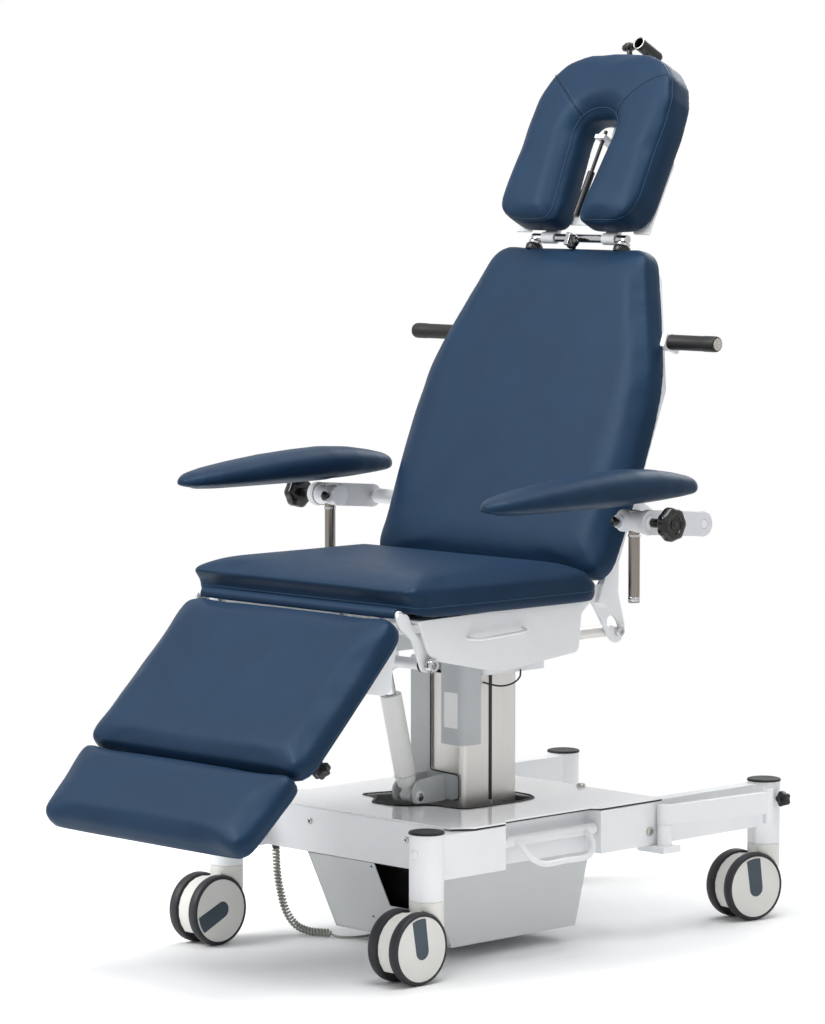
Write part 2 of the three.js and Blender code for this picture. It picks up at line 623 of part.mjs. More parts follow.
function backYoke() {
  const pieces = [
    rod(12, [-PUSH_ROD.x, 84, BACK_PIN.z], [PUSH_ROD.x, 84, BACK_PIN.z]),
    rod(9, [-LEG_DRIVE_X, -112, BACK_PIN.z], [-LEG_DRIVE_X, 84, BACK_PIN.z]),
  ];
  for (const sign of [-1, 1]) {
    const rodX = sign * PUSH_ROD.x;
    pieces.push(rod(PUSH_ROD.r, [rodX, 76, BACK_PIN.z], [rodX, BACK_PIN.y + 10, BACK_PIN.z]));
    pieces.push(rod(5, [sign * PUSH_ROD.x, BACK_PIN.y, BACK_PIN.z], [sign * 259, BACK_PIN.y, BACK_PIN.z]));
    pieces.push(rod(9, [sign * 254, BACK_PIN.y, BACK_PIN.z], [sign * 259, BACK_PIN.y, BACK_PIN.z]));
  }
  return join(...pieces);
}
addTo(chair, 'back_push_yoke', backYoke(), STEEL, 0.3, 0.9);

// ---------------------------------------------------------------- leg and foot sections
const leg = section(KNEE_AXIS, LEG_DROP);
const LEG_PAD = { near: -20, far: -344, z0: -24, z1: 26 };
const FOOT_PAD = { near: -350, far: -512 };
const LEG_TUBE = { x: 205, z: -38, r: 13, bore: 9.5 };
const LEG_KNOB_Y = -277;

// The lever hangs straight down when the leg section rests.
function legLever() {
  const lever = roundedOutline([
    [0, 0, 0.1], [7, 3, 0.1], [24, -22], [22, -36], [14, -52], [14, -94], [-13, -94], [-13, -50], [5, -40],
    [5, -24], [-3, -7, 1]], 6);
  const plate = extrudeX(lever, LEG_DRIVE_X - 4, LEG_DRIVE_X + 4);
  const slot = camSlot({
    radius: 5.5, x0: LEG_DRIVE_X - 6, x1: LEG_DRIVE_X + 6, pinY: 0, pinZ: KNEE_AXIS.z * -1 + LEG_DRIVE_Z,
    travel: LEG_TRAVEL, turned: 0, from: -0.2, to: 0.8, steps: 6,
  });
  return cut(plate, ...slot).rotateX(THREE.MathUtils.degToRad(-LEG_DROP));
}

function legFrame() {
  const { x, z, r } = LEG_TUBE;
  const top = LEG_PAD.z0 - GAP;
  const pieces = [
    rod(7, [-PLATE_X + GAP, 0, 0], [PLATE_X - GAP, 0, 0]),
    box(-x, x, -300, -275, top - 18, top),
    box(-x, x, -90, -65, top - 18, top),
    legLever(),
  ];
  for (const sign of [-1, 1]) {
    pieces.push(rod(r, [sign * x, -50, z], [sign * x, -322, z]));
    const arm = roundedOutline([
      [6, -2, 1], [6, -9], [-48, -54], [-70, -54], [-70, -25], [-24, -25], [-6, -9], [-6, -2, 1]], 4);
    pieces.push(extrudeX(arm, sign * x - 4, sign * x + 4));
    const gusset = roundedOutline([
      [-24, -26], [-150, -26], [-112, -80], [-92, -84], [-78, -68], [-20, -32]], 8);
    pieces.push(extrudeX(gusset, sign * 236 - 3, sign * 236 + 3));
    const [xa, xb] = sign > 0 ? [200, 239] : [-239, -200];
    pieces.push(box(xa, xb, -150, -40, top - 8, top));
  }
  const bores = [-1, 1].map((sign) => rod(
    LEG_TUBE.bore, [sign * x, -150, z], [sign * x, -330, z]));
  const knobHole = rod(3.5, [x, LEG_KNOB_Y, z], [x, LEG_KNOB_Y, z - 30]);
  return cut(join(...pieces), ...bores, knobHole);
}

function legCushion() {
  const { near, far, z0, z1 } = LEG_PAD;
  const shape = roundedOutline([[-262, near, 50], [262, near, 50], [270, far, 44], [-270, far, 44]], 40);
  return pad(shape, z0, z1, 14, 5);
}

function footFrame() {
  const pieces = [
    box(-222, 222, FOOT_PAD.far + 26, FOOT_PAD.near - 26, LEG_PAD.z0 - 6, LEG_PAD.z0 - GAP),
    box(
      -LEG_TUBE.x - 10, LEG_TUBE.x + 10, FOOT_PAD.near - 40, FOOT_PAD.near - 26,
      LEG_TUBE.z, LEG_PAD.z0 - 5),
  ];
  for (const sign of [-1, 1]) {
    const tubeX = sign * LEG_TUBE.x;
    pieces.push(rod(LEG_TUBE.bore - GAP, [tubeX, -170, LEG_TUBE.z], [tubeX, FOOT_PAD.far + 40, LEG_TUBE.z]));
  }
  return join(...pieces);
}

function footCushion() {
  const shape = roundedOutline([
    [-264, FOOT_PAD.near, 30], [264, FOOT_PAD.near, 30], [250, FOOT_PAD.far, 34], [-250, FOOT_PAD.far, 34]], 30);
  return pad(shape, LEG_PAD.z0, LEG_PAD.z1, 14, 5);
}

addTo(leg, 'leg_frame', legFrame(), WHITE, 0.4);
addTo(leg, 'leg_cushion', legCushion(), NAVY, 0.5);
function kneeRoll() {
  return cut(
    rod(12.5, [-250, 0, 0], [250, 0, 0]),
    rod(7 + GAP, [-260, 0, 0], [260, 0, 0]),
    box(-260, 260, -20, 20, -20, -1.5),
  );
}
addTo(leg, 'foot_frame', footFrame(), WHITE, 0.4);
addTo(leg, 'foot_cushion', footCushion(), NAVY, 0.5);
const footKnob = knob({ lobes: 5, radius: 16, thickness: 14, stemRadius: 3.2, stemLength: 39 });
footKnob.rotateX(Math.PI).translate(LEG_TUBE.x, LEG_KNOB_Y, LEG_TUBE.z - LEG_TUBE.bore - 0.4);
addTo(leg, 'foot_knob', footKnob, BLACK, 0.4);

// ---------------------------------------------------------------- back section
const back = section(BACK_AXIS, -BACK_LEAN);
const BACK_PAD = { front: -37, rear: 17, z0: 22, shoulder: 390, top: 630 };
const POST = { x: 110, y: -8, r: 8 };
const GRIP = { y: 14, z: 471.5 };
const HEAD_Z = 655;               // head hinge along the back section

function backCushion() {
  const { front, rear, z0, shoulder, top } = BACK_PAD;
  const shape = roundedOutline([
    [-280, z0, 50], [280, z0, 50], [288, 250, 60], [280, shoulder, 50], [184, top, 40], [-184, top, 40],
    [-280, shoulder, 50], [-288, 250, 60]], 40);
  const body = pad(shape, -rear, -front, 16, 4).applyMatrix4(ALONG_Y);
  const channels = [POST.x, -POST.x].map((x) => rod(POST.r + 1, [x, POST.y, 420], [x, POST.y, 660]));
  return cut(body, ...channels);
}

function backFrame() {
  const outer = outline([[-262, -14], [-247.6, -14], [-247.6, 384], [-166, 582], [166, 582], [247.6, 384],
    [247.6, -14], [262, -14], [262, 390], [177, 602], [-177, 602], [-262, 390]]);
  const pieces = [extrudeY(outer, 19, 42)];
  pieces.push(box(-250, 250, 22, 38, 120, 150));
  pieces.push(box(-225, 225, 22, 38, 462, 480));
  const lever = roundedOutline([
    [-16, 14], [-16, -14], [20, -20], [80, -62], [96, -66], [110, -56], [110, -30], [70, 20], [44, 90], [20, 90],
    [18, 16]], 8);
  for (const sign of [-1, 1]) {
    const near = sign * BACK_PLATE_X;
    const far = sign * (BACK_PLATE_X + 5.8);
    pieces.push(extrudeX(lever, Math.min(near, far), Math.max(near, far)));
    const arm = roundedOutline([[30, 130], [100, 146], [100, 182], [30, 190]], 10);
    pieces.push(extrudeX(arm, sign > 0 ? 254 : -262, sign > 0 ? 262 : -254));
    const pivot = armPivotInBack();
    pieces.push(rod(14, [sign * 256, pivot.y, pivot.z], [sign * 400, pivot.y, pivot.z]));
    pieces.push(rod(8, [sign * 398, pivot.y, pivot.z], [sign * 424, pivot.y, pivot.z]));
    pieces.push(rod(11, [sign * 200, 31, GRIP.z], [sign * 262, 31, GRIP.z]));
    const [xa, xb] = sign > 0 ? [255, 266] : [-266, -255];
    pieces.push(box(xa, xb, 1, 43, GRIP.z - 12, GRIP.z + 12));
    pieces.push(rod(11, [sign * 260, GRIP.y, GRIP.z], [sign * 375, GRIP.y, GRIP.z]));
  }
  const hingeHoles = rod(6 + GAP, [-262, 0, 0], [262, 0, 0]);
  const slots = [-1, 1].flatMap((sign) => camSlot({
    radius: 7.5, x0: sign * 244, x1: sign * 256, pinY: BACK_PIN.y - BACK_AXIS.y, pinZ: BACK_PIN.z - BACK_AXIS.z,
    travel: BACK_TRAVEL, turned: THREE.MathUtils.degToRad(BACK_LEAN), from: -0.02, to: 0.97, steps: 8,
  }));
  return cut(join(...pieces), hingeHoles, ...slots);
}

function armPivotInBack() {
  const lean = THREE.MathUtils.degToRad(BACK_LEAN);
  const dy = ARM_PIVOT.y - BACK_AXIS.y;
  const dz = ARM_PIVOT.z - BACK_AXIS.z;
  return {
    y: dy * Math.cos(lean) - dz * Math.sin(lean),
    z: dy * Math.sin(lean) + dz * Math.cos(lean),
  };
}

addTo(back, 'back_frame', backFrame(), WHITE, 0.4);
addTo(back, 'back_cushion', backCushion(), NAVY, 0.5);
for (const { tag, sign } of SIDES) {
  const grip = cut(
    rod(14, [sign * 268, GRIP.y, GRIP.z], [sign * 381, GRIP.y, GRIP.z]),
    rod(11 + GAP, [sign * 200, GRIP.y, GRIP.z], [sign * 376, GRIP.y, GRIP.z]),
  );
  addTo(back, `push_grip_${tag}`, grip, BLACK, 0.75);
}

// ---------------------------------------------------------------- head section
function headPosts() {
  const pieces = [rod(POST.r, [-118, POST.y, HEAD_Z], [118, POST.y, HEAD_Z])];
  for (const sign of [-1, 1]) {
    pieces.push(rod(POST.r, [sign * POST.x, POST.y, 440], [sign * POST.x, POST.y, HEAD_Z]));
  }
  pieces.push(box(-14, -4, -33, POST.y, HEAD_Z - 21, HEAD_Z + 3));
  return cut(join(...pieces), rod(3 + GAP, [-20, -24, HEAD_Z - 14], [0, -24, HEAD_Z - 14]));
}
addTo(back, 'head_posts', headPosts(), STEEL, 0.25, 0.9);
const headKnob = knob({ lobes: 6, radius: 9, thickness: 14, stemRadius: 3, stemLength: 22 });
headKnob.rotateY(Math.PI / 2).translate(-20, -24, HEAD_Z - 14);
addTo(back, 'head_clamp_knob', headKnob, BLACK, 0.4);

const head = section(HEAD_AXIS, -HEAD_LEAN);
const HANDLE = { r: 12.5, z: 387 };
const HEAD_PAD = { front: -72, rear: -3, z0: 8, top: 351, half: 172 };

function headFrame() {
  const plate = new THREE.Shape([
    [-166, 10], [-130, 10], [-118, 26], [118, 26], [130, 10], [166, 10], [166, 150], [120, 250], [16, 262],
    [16, 372], [-16, 372], [-16, 262], [-120, 250], [-166, 150],
  ].map(([u, v]) => new THREE.Vector2(u, v)));
  plate.holes.push(new THREE.Path([
    [-70, 60], [70, 60], [70, 226], [-70, 226]].map(([u, v]) => new THREE.Vector2(u, v))));
  const pieces = [
    extrudeY(plate, HEAD_PAD.rear + 0.4, HEAD_PAD.rear + 4.4),
    box(-12, 12, -42, 0, 184, 192),
    box(-12, 12, HEAD_PAD.rear + 0.4, HEAD_PAD.rear + 4.4, 180, 230),
  ];
  for (const sign of [-1, 1]) {
    pieces.push(rod(11, [sign * 60, 0, 0], [sign * 92, 0, 0]));
    pieces.push(box(Math.min(sign * 60, sign * 92), Math.max(sign * 60, sign * 92), -2.6, 6, 2, 28));
  }
  return cut(
    join(...pieces),
    rod(POST.r + GAP, [-130, 0, 0], [130, 0, 0]),
    rod(4, [0, -30, 176], [0, -30, 200]),
    rod(HANDLE.r + GAP, [0, -20, HANDLE.z], [0, 20, HANDLE.z]),
  );
}

function headCushion() {
  const { front, rear, top, half, z0 } = HEAD_PAD;
  const shape = roundedOutline([
    [19, z0, 32], [half, z0, 60], [half, top, 150], [-half, top, 150], [-half, z0, 60], [-19, z0, 32],
    [-42, 219, 34], [42, 219, 34]], 40);
  return pad(shape, -rear, -front, 9, 5).applyMatrix4(ALONG_Y);
}

addTo(head, 'head_frame', headFrame(), WHITE, 0.4);
addTo(head, 'head_cushion', headCushion(), NAVY, 0.5);
addTo(head, 'head_strut', join(
  rod(7, [0, -30, 30], [0, -30, 120]),
  rod(3.5, [0, -30, 118], [0, -30, 204]),
), BLACK, 0.5);
addTo(head, 'head_handle', cut(
  rod(HANDLE.r, [0, -28, HANDLE.z], [0, 30, HANDLE.z]),
  rod(HANDLE.r - 3, [0, -35, HANDLE.z], [0, 24, HANDLE.z]),
), BLACK, 0.5);

// ---------------------------------------------------------------- arm supports
const CARRIER = { x0: 410, x1: 424, r: 21.5, neck: 12 };

function armCarrier(sign) {
  const { y, z } = ARM_PIVOT;
  const dy = ARM_HUB.y - y;
  const dz = ARM_HUB.z - z;
  const length = Math.hypot(dy, dz);
  const { r, neck } = CARRIER;
  const x0 = Math.min(sign * CARRIER.x0, sign * CARRIER.x1);
  const x1 = Math.max(sign * CARRIER.x0, sign * CARRIER.x1);
  const beam = box(x0, x1, 0, length, -r + 0.2, r - 0.2).rotateX(Math.atan2(dz, dy)).translate(0, y, z);
  return cut(
    join(
      beam,
      rod(r, [x0, y, z], [x1, y, z]),
      rod(r, [x0, ARM_HUB.y, ARM_HUB.z], [x1, ARM_HUB.y, ARM_HUB.z]),
    ),
    rod(8 + GAP, [x0 - 10, y, z], [x0 + 24.5, y, z]),
    rod(neck + GAP, [x0 - 10, ARM_HUB.y, ARM_HUB.z], [x0 + 24, ARM_HUB.y, ARM_HUB.z]),
  );
}

function armHub(sign) {
  const { y, z } = ARM_HUB;
  return cut(
    join(
      rod(19.2, [sign * 360, y, z], [sign * (CARRIER.x0 - GAP), y, z]),
      rod(CARRIER.neck, [sign * 400, y, z], [sign * (CARRIER.x1 + 3), y, z]),
    ),
    rod(10 + GAP, [sign * POST_X, y, z - 30], [sign * POST_X, y, z + 30]),
    rod(4 + GAP, [sign * 412, y, z], [sign * 450, y, z]),
  );
}

// Pad stations from the front tip to the rear tip: [y, half width, underside z, crown z].
const ARM_PAD = [
  [-218, 6, 806, 815], [-208, 18, 801, 821], [-180, 31, 799, 829], [-130, 41, 798, 836], [-60, 48, 798, 844],
  [20, 50, 798, 852], [100, 48, 798, 857], [180, 44, 800, 853], [240, 36, 803, 843], [278, 22, 808, 831],
  [290, 8, 813, 823]];
const ARM_PAD_SIDES = 20;

// A leaf-shaped body: flattened below, domed above, thin at both tips.
function leaf(stations, x) {
  const points = [];
  const faces = [];
  const sides = ARM_PAD_SIDES;
  for (const [y, half, low, high] of stations) {
    const rim = low + 0.36 * (high - low);
    for (let k = 0; k < sides; k += 1) {
      const angle = (k / sides) * Math.PI * 2;
      const across = Math.sign(Math.cos(angle)) * Math.abs(Math.cos(angle)) ** 0.8;
      const up = Math.sin(angle);
      const z = up >= 0 ? rim + (high - rim) * up ** 0.9 : rim - (rim - low) * (-up) ** 0.55;
      points.push(x + half * across, y, z);
    }
  }
  const last = (stations.length - 1) * sides;
  for (let k = 0; k < sides; k += 1) {
    const next = (k + 1) % sides;
    for (let row = 0; row < last; row += sides) {
      faces.push(row + k, row + sides + next, row + next, row + k, row + sides + k, row + sides + next);
    }
    if (k > 0 && next > 0) {
      faces.push(0, k, next, last, last + next, last + k);
    }
  }
  const geometry = new THREE.BufferGeometry();
  geometry.setAttribute('position', new THREE.Float32BufferAttribute(points, 3));
  geometry.setIndex(faces);
  return geometry;
}

function armPad(sign) {
  const x = sign * POST_X;
  return join(
    leaf(ARM_PAD, x),
    rod(15, [x, ARM_HUB.y, 787.9], [x, ARM_HUB.y, 806]),
  );
}

for (const { tag, sign } of SIDES) {
  const x = sign * POST_X;
  addTo(chair, `arm_carrier_${tag}`, armCarrier(sign), 0xd8dadd, 0.4);
  addTo(chair, `arm_hub_${tag}`, armHub(sign), WHITE, 0.35);
  const turnKnob = knob({ lobes: 7, radius: 30, thickness: 20, stemRadius: 4, stemLength: 46 });
  turnKnob.rotateY((sign * Math.PI) / 2).translate(sign * 416, ARM_HUB.y, ARM_HUB.z);
  addTo(chair, `arm_knob_${tag}`, turnKnob, BLACK, 0.3);
  addTo(chair, `arm_post_${tag}`, rod(10, [x, ARM_HUB.y, 627], [x, ARM_HUB.y, 787.5]), STEEL, 0.25, 0.9);
  addTo(chair, `arm_pad_${tag}`, armPad(sign), NAVY, 0.5);
}
addTo(leg, 'knee_roll', kneeRoll(), NAVY, 0.5);

export default chair;
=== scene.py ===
"""Looks for the patient recliner chair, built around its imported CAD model."""
import json
import math

import bmesh
import bpy
import numpy as np
from mathutils import Matrix, Vector
from mathutils.bvhtree import BVHTree


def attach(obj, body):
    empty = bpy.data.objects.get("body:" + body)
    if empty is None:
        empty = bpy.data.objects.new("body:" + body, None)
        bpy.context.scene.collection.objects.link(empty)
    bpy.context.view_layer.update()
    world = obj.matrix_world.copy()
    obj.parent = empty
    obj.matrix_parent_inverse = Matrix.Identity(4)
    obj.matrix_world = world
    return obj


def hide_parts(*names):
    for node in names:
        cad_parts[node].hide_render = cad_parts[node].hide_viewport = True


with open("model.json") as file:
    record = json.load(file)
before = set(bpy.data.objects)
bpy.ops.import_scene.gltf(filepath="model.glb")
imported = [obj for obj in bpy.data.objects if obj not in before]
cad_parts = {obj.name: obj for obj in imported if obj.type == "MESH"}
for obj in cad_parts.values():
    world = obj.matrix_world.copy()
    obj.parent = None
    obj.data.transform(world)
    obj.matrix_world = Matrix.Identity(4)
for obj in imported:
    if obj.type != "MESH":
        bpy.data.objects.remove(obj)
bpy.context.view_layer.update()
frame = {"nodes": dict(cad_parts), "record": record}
NODES = frame["nodes"]
NODE_BODY = {n: b for b, ns in frame["record"]["behaviour"]["bodies"].items() for n in ns}
NODE_SLOT = {p["node"]: p["material_slot"] for p in frame["record"]["subparts"]}
SCENE = bpy.context.scene

# Design sizes are in millimetres, in the chair's design frame, 0.93 mm behind the row's frame.
MM = 0.001
ROW = Matrix.Translation((0, -0.93 * MM, 0)) @ Matrix.Scale(MM, 4)


def hinged(y, z, degrees):
    """The frame of a section that turns about a sideways axis through (y, z)."""
    return ROW @ Matrix.Translation((0, y, z)) @ Matrix.Rotation(math.radians(degrees), 4, "X")


BACK = hinged(172, 634, -22.07)
LEG = hinged(-290, 628, 45)
HEAD = hinged(410.7, 1244, -27.5)
SIDES = (("left", 1), ("right", -1))
CASTORS = (("front_left", 255, -231, 0), ("front_right", -255, -231, 0),
           ("rear_left", 255, 636, -10), ("rear_right", -255, 636, 0))


# ---------------------------------------------------------------- camera
def make_camera():
    data = bpy.data.cameras.new("camera")
    data.sensor_width = 36
    data.lens = 150.9
    data.clip_end = 60
    camera = bpy.data.objects.new("camera", data)
    SCENE.collection.objects.link(camera)
    camera.location = (5.4046, -5.27353, 1.4357)
    forward = Vector((-0.7141, 0.6945, -0.0880))
    camera.rotation_euler = forward.to_track_quat("-Z", "Y").to_euler()
    SCENE.camera = camera


# ---------------------------------------------------------------- materials
MATERIALS = {}
# The floor fades between these distances from the chair's middle, in metres, and ends at its reach.
FLOOR_FADE_FROM = 1.1
FLOOR_FADE_TO = 2.3
FLOOR_REACH = 2.5


def material(name, color, rough, metal=0.0, grain=0.0, grain_size=1.0, tint=0.03, tint_size=60.0,
             rough_spread=0.05, coat=0.0, coat_rough=0.1, sheen=0.0, brush=None, specular=0.5):
    """A finish with its colour clouding, uneven gloss and fine grain, all in object space."""
    made = bpy.data.materials.new(name)
    made.use_nodes = True
    tree = made.node_tree
    shader = tree.nodes["Principled BSDF"]
    shader.inputs["Metallic"].default_value = metal
    shader.inputs["Specular IOR Level"].default_value = specular
    shader.inputs["Coat Weight"].default_value = coat
    shader.inputs["Coat Roughness"].default_value = coat_rough
    shader.inputs["Sheen Weight"].default_value = sheen
    place = tree.nodes.new("ShaderNodeTexCoord")

    def noise(size, detail, stretch=(1, 1, 1)):
        mapping = tree.nodes.new("ShaderNodeMapping")
        mapping.inputs["Scale"].default_value = stretch
        tree.links.new(place.outputs["Object"], mapping.inputs["Vector"])
        field = tree.nodes.new("ShaderNodeTexNoise")
        field.inputs["Scale"].default_value = 1 / (size * MM)
        field.inputs["Detail"].default_value = detail
        tree.links.new(mapping.outputs["Vector"], field.inputs["Vector"])
        return field.outputs["Fac"]

    def spread(source, low, high):
        ramp = tree.nodes.new("ShaderNodeMapRange")
        ramp.inputs["From Min"].default_value = 0.25
        ramp.inputs["From Max"].default_value = 0.75
        ramp.inputs["To Min"].default_value = low
        ramp.inputs["To Max"].default_value = high
        tree.links.new(source, ramp.inputs["Value"])
        return ramp.outputs["Result"]

    stretch = brush or (1, 1, 1)
    clouds = noise(tint_size, 3, stretch)
    mix = tree.nodes.new("ShaderNodeMix")
    mix.data_type = "RGBA"
    mix.inputs["A"].default_value = (*[c * (1 - tint) for c in color], 1)
    mix.inputs["B"].default_value = (*[min(1, c * (1 + tint)) for c in color], 1)
    tree.links.new(spread(clouds, 0, 1), mix.inputs["Factor"])
    tree.links.new(mix.outputs["Result"], shader.inputs["Base Color"])
    streaks = noise(grain_size * 4, 4, stretch)
    low, high = max(0.02, rough - rough_spread), min(1, rough + rough_spread)
    tree.links.new(spread(streaks, low, high), shader.inputs["Roughness"])
    if grain:
        bump = tree.nodes.new("ShaderNodeBump")
        bump.inputs["Strength"].default_value = 1
        bump.inputs["Distance"].default_value = grain * MM
        tree.links.new(noise(grain_size, 2, stretch), bump.inputs["Height"])
        tree.links.new(bump.outputs["Normal"], shader.inputs["Normal"])
    MATERIALS[name] = made
    return made


def leather_vinyl(name, color):
    """Upholstery vinyl: a pebbled grain of small cells, with soft clouding."""
    made = material(name, color, 0.46, tint=0.10, tint_size=90, rough_spread=0.04,
                    grain_size=1.2, specular=0.22)
    tree = made.node_tree
    shader = tree.nodes["Principled BSDF"]
    shader.inputs["Specular Tint"].default_value = (0.55, 0.78, 1.0, 1)
    place = tree.nodes["Texture Coordinate"]
    cells = tree.nodes.new("ShaderNodeTexVoronoi")
    cells.inputs["Scale"].default_value = 1 / (1.5 * MM)
    tree.links.new(place.outputs["Object"], cells.inputs["Vector"])
    slack = tree.nodes.new("ShaderNodeTexNoise")
    slack.inputs["Scale"].default_value = 1 / (38 * MM)
    slack.inputs["Detail"].default_value = 2
    tree.links.new(place.outputs["Object"], slack.inputs["Vector"])
    pebble = tree.nodes.new("ShaderNodeBump")
    pebble.inputs["Strength"].default_value = 0.5
    pebble.inputs["Distance"].default_value = 0.05 * MM
    tree.links.new(cells.outputs["Distance"], pebble.inputs["Height"])
    soft = tree.nodes.new("ShaderNodeBump")
    soft.inputs["Strength"].default_value = 0.35
    soft.inputs["Distance"].default_value = 1.2 * MM
    tree.links.new(slack.outputs["Fac"], soft.inputs["Height"])
    tree.links.new(soft.outputs["Normal"], pebble.inputs["Normal"])
    tree.links.new(pebble.outputs["Normal"], shader.inputs["Normal"])
    return made


def make_materials():
    material("white_paint", (0.86, 0.872, 0.885), 0.34, grain=0.03, grain_size=1.6, tint=0.012,
             coat=0.15)
    material("gloss_cover", (0.95, 0.955, 0.965), 0.06, tint=0.006, tint_size=200,
             rough_spread=0.015)
    material("grey_paint", (0.66, 0.675, 0.68), 0.42, grain=0.03, grain_size=1.6, tint=0.02)
    material("grey_sheet", (0.60, 0.62, 0.625), 0.38, grain=0.02, tint=0.02)
    material("grey_arm", (0.76, 0.765, 0.79), 0.36, grain=0.02, tint=0.015)
    material("ivory_paint", (0.88, 0.88, 0.855), 0.40, grain=0.02, tint=0.015)
    material("grey_plastic", (0.53, 0.555, 0.565), 0.40, grain=0.04, grain_size=0.8, tint=0.02)
    material("stainless", (0.68, 0.66, 0.635), 0.36, metal=1.0, tint=0.025, tint_size=4,
             rough_spread=0.03, brush=(1, 1, 0.01), grain=0.0015, grain_size=0.5)
    material("chrome", (0.56, 0.56, 0.57), 0.10, metal=1.0, tint=0.02, rough_spread=0.03)
    leather_vinyl("vinyl", (0.008, 0.024, 0.054))
    leather_vinyl("vinyl_seam", (0.005, 0.013, 0.030))
    # The welt vinyl is painted lighter than the cover, as a highlight along the welt ridges.
    leather_vinyl("vinyl_welt", (0.020, 0.050, 0.100))
    material("thread", (0.02, 0.05, 0.11), 0.6, tint=0.1, tint_size=2, sheen=0.2)
    material("post_steel", (0.30, 0.265, 0.235), 0.26, metal=1.0, tint=0.05, tint_size=4,
             brush=(1, 1, 0.02))
    material("gloss_black", (0.006, 0.006, 0.0065), 0.14, tint=0.1, rough_spread=0.03)
    material("dark_shell", (0.008, 0.008, 0.0085), 0.6, grain=0.004, tint=0.1, specular=0.2)
    material("black_plastic", (0.008, 0.008, 0.009), 0.30, grain=0.006, grain_size=1.2, tint=0.1)
    material("rubber", (0.010, 0.010, 0.011), 0.5, grain=0.02, grain_size=1.0, tint=0.1, specular=0.35)
    material("tyre", (0.013, 0.014, 0.018), 0.52, grain=0.05, grain_size=0.9, tint=0.1)
    material("slate", (0.035, 0.055, 0.075), 0.42, grain=0.02, grain_size=0.7, tint=0.06)
    material("cord", (0.33, 0.34, 0.30), 0.48, grain=0.02, grain_size=0.7, tint=0.04)
    material("castor_hood", (0.78, 0.775, 0.73), 0.40, grain=0.03, grain_size=0.9, tint=0.02)
    material("castor_disc", (0.72, 0.715, 0.68), 0.42, grain=0.04, grain_size=0.8, tint=0.03)
    # Dark rubber and trim, and also the painted shade: the shadow line under the cover plate's rim, the shade
    # in the front screw sockets and in the column's grooves.
    material("gasket", (0.015, 0.015, 0.016), 0.6, tint=0.1)
    material("label", (0.93, 0.93, 0.92), 0.5, tint=0.02, tint_size=8)
    material("brass_screw", (0.52, 0.50, 0.46), 0.28, metal=1.0, tint=0.04, tint_size=3)
    material("floor", (0.93, 0.93, 0.93), 0.7, tint=0.004, tint_size=400)
    fade_out(MATERIALS["floor"], FLOOR_FADE_FROM, FLOOR_FADE_TO)


def fade_out(made, near, far):
    """Lets the floor melt into the white backdrop between two distances from the chair."""
    tree = made.node_tree
    place = tree.nodes["Texture Coordinate"]
    length = tree.nodes.new("ShaderNodeVectorMath")
    length.operation = "LENGTH"
    tree.links.new(place.outputs["Object"], length.inputs[0])
    share = tree.nodes.new("ShaderNodeMapRange")
    share.interpolation_type = "SMOOTHSTEP"
    share.inputs["From Min"].default_value = near
    share.inputs["From Max"].default_value = far
    tree.links.new(length.outputs["Value"], share.inputs["Value"])
    clear = tree.nodes.new("ShaderNodeBsdfTransparent")
    mix = tree.nodes.new("ShaderNodeMixShader")
    tree.links.new(share.outputs["Result"], mix.inputs[0])
    tree.links.new(tree.nodes["Principled BSDF"].outputs[0], mix.inputs[1])
    tree.links.new(clear.outputs[0], mix.inputs[2])
    tree.links.new(mix.outputs[0], tree.nodes["Material Output"].inputs["Surface"])


# ---------------------------------------------------------------- mesh tools
def piece(name, verts, faces, place, body, finish, slot=None, crease=35, replaces=()):
    """One closed mesh from points in the place's frame, riding on a body."""
    mesh = bpy.data.meshes.new(name)
    mesh.from_pydata([place @ Vector(v) for v in verts], [], faces)
    face_outward(mesh)
    return register(name, mesh, body, finish, crease, replaces)


def face_outward(mesh):
    work = bmesh.new()
    work.from_mesh(mesh)
    bmesh.ops.recalc_face_normals(work, faces=work.faces)
    work.to_mesh(mesh)
    work.free()


def register(name, mesh, body, finish, crease=35, replaces=()):
    mesh.materials.clear()
    mesh.materials.append(MATERIALS[finish])
    mesh.shade_smooth()
    mesh.set_sharp_from_angle(angle=math.radians(crease))
    made = bpy.data.objects.new(name, mesh)
    SCENE.collection.objects.link(made)
    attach(made, body)
    if replaces:
        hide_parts(*replaces)
    return made


def gather(parts):
    """Joins (verts, faces) lists into one."""
    verts, faces = [], []
    for points, polygons in parts:
        start = len(verts)
        verts.extend(points)
        faces.extend([tuple(start + i for i in polygon) for polygon in polygons])
    return verts, faces


def moved(part, place):
    verts, faces = part
    return [place @ Vector(v) for v in verts], faces


def toward(point, direction):
    """A place whose +Z runs along the direction, from the point."""
    turn = Vector(direction).to_track_quat("Z", "Y").to_matrix().to_4x4()
    return Matrix.Translation(point) @ turn


def skin(rows, count):
    """The quads between neighbouring rows of count points, and a cap at both ends."""
    faces = []
    for row in range(rows - 1):
        a, b = row * count, (row + 1) * count
        for i in range(count):
            j = (i + 1) % count
            faces.append((a + i, a + j, b + j, b + i))
    faces.append(tuple(range(count - 1, -1, -1)))
    faces.append(tuple((rows - 1) * count + i for i in range(count)))
    return faces


def lathe(profile, steps=48, lobes=0, depth=0.0):
    """Turns (radius, height) points about Z. Lobes ripple the radius of the wide part."""
    widest = max(r for r, _ in profile)
    verts = []
    for radius, height in profile:
        for i in range(steps):
            angle = 2 * math.pi * i / steps
            ripple = 1
            if lobes and radius > 0.6 * widest:
                ripple = 1 - depth * (1 - math.cos(lobes * angle)) / 2
            verts.append((radius * ripple * math.cos(angle), radius * ripple * math.sin(angle), height))
    return verts, skin(len(profile), steps)


def turned(radius, length, edge=0.8, steps=40):
    """A round bar along Z with softened ends."""
    profile = [(radius - edge, 0), (radius, edge), (radius, length - edge), (radius - edge, length)]
    return lathe(profile, steps)


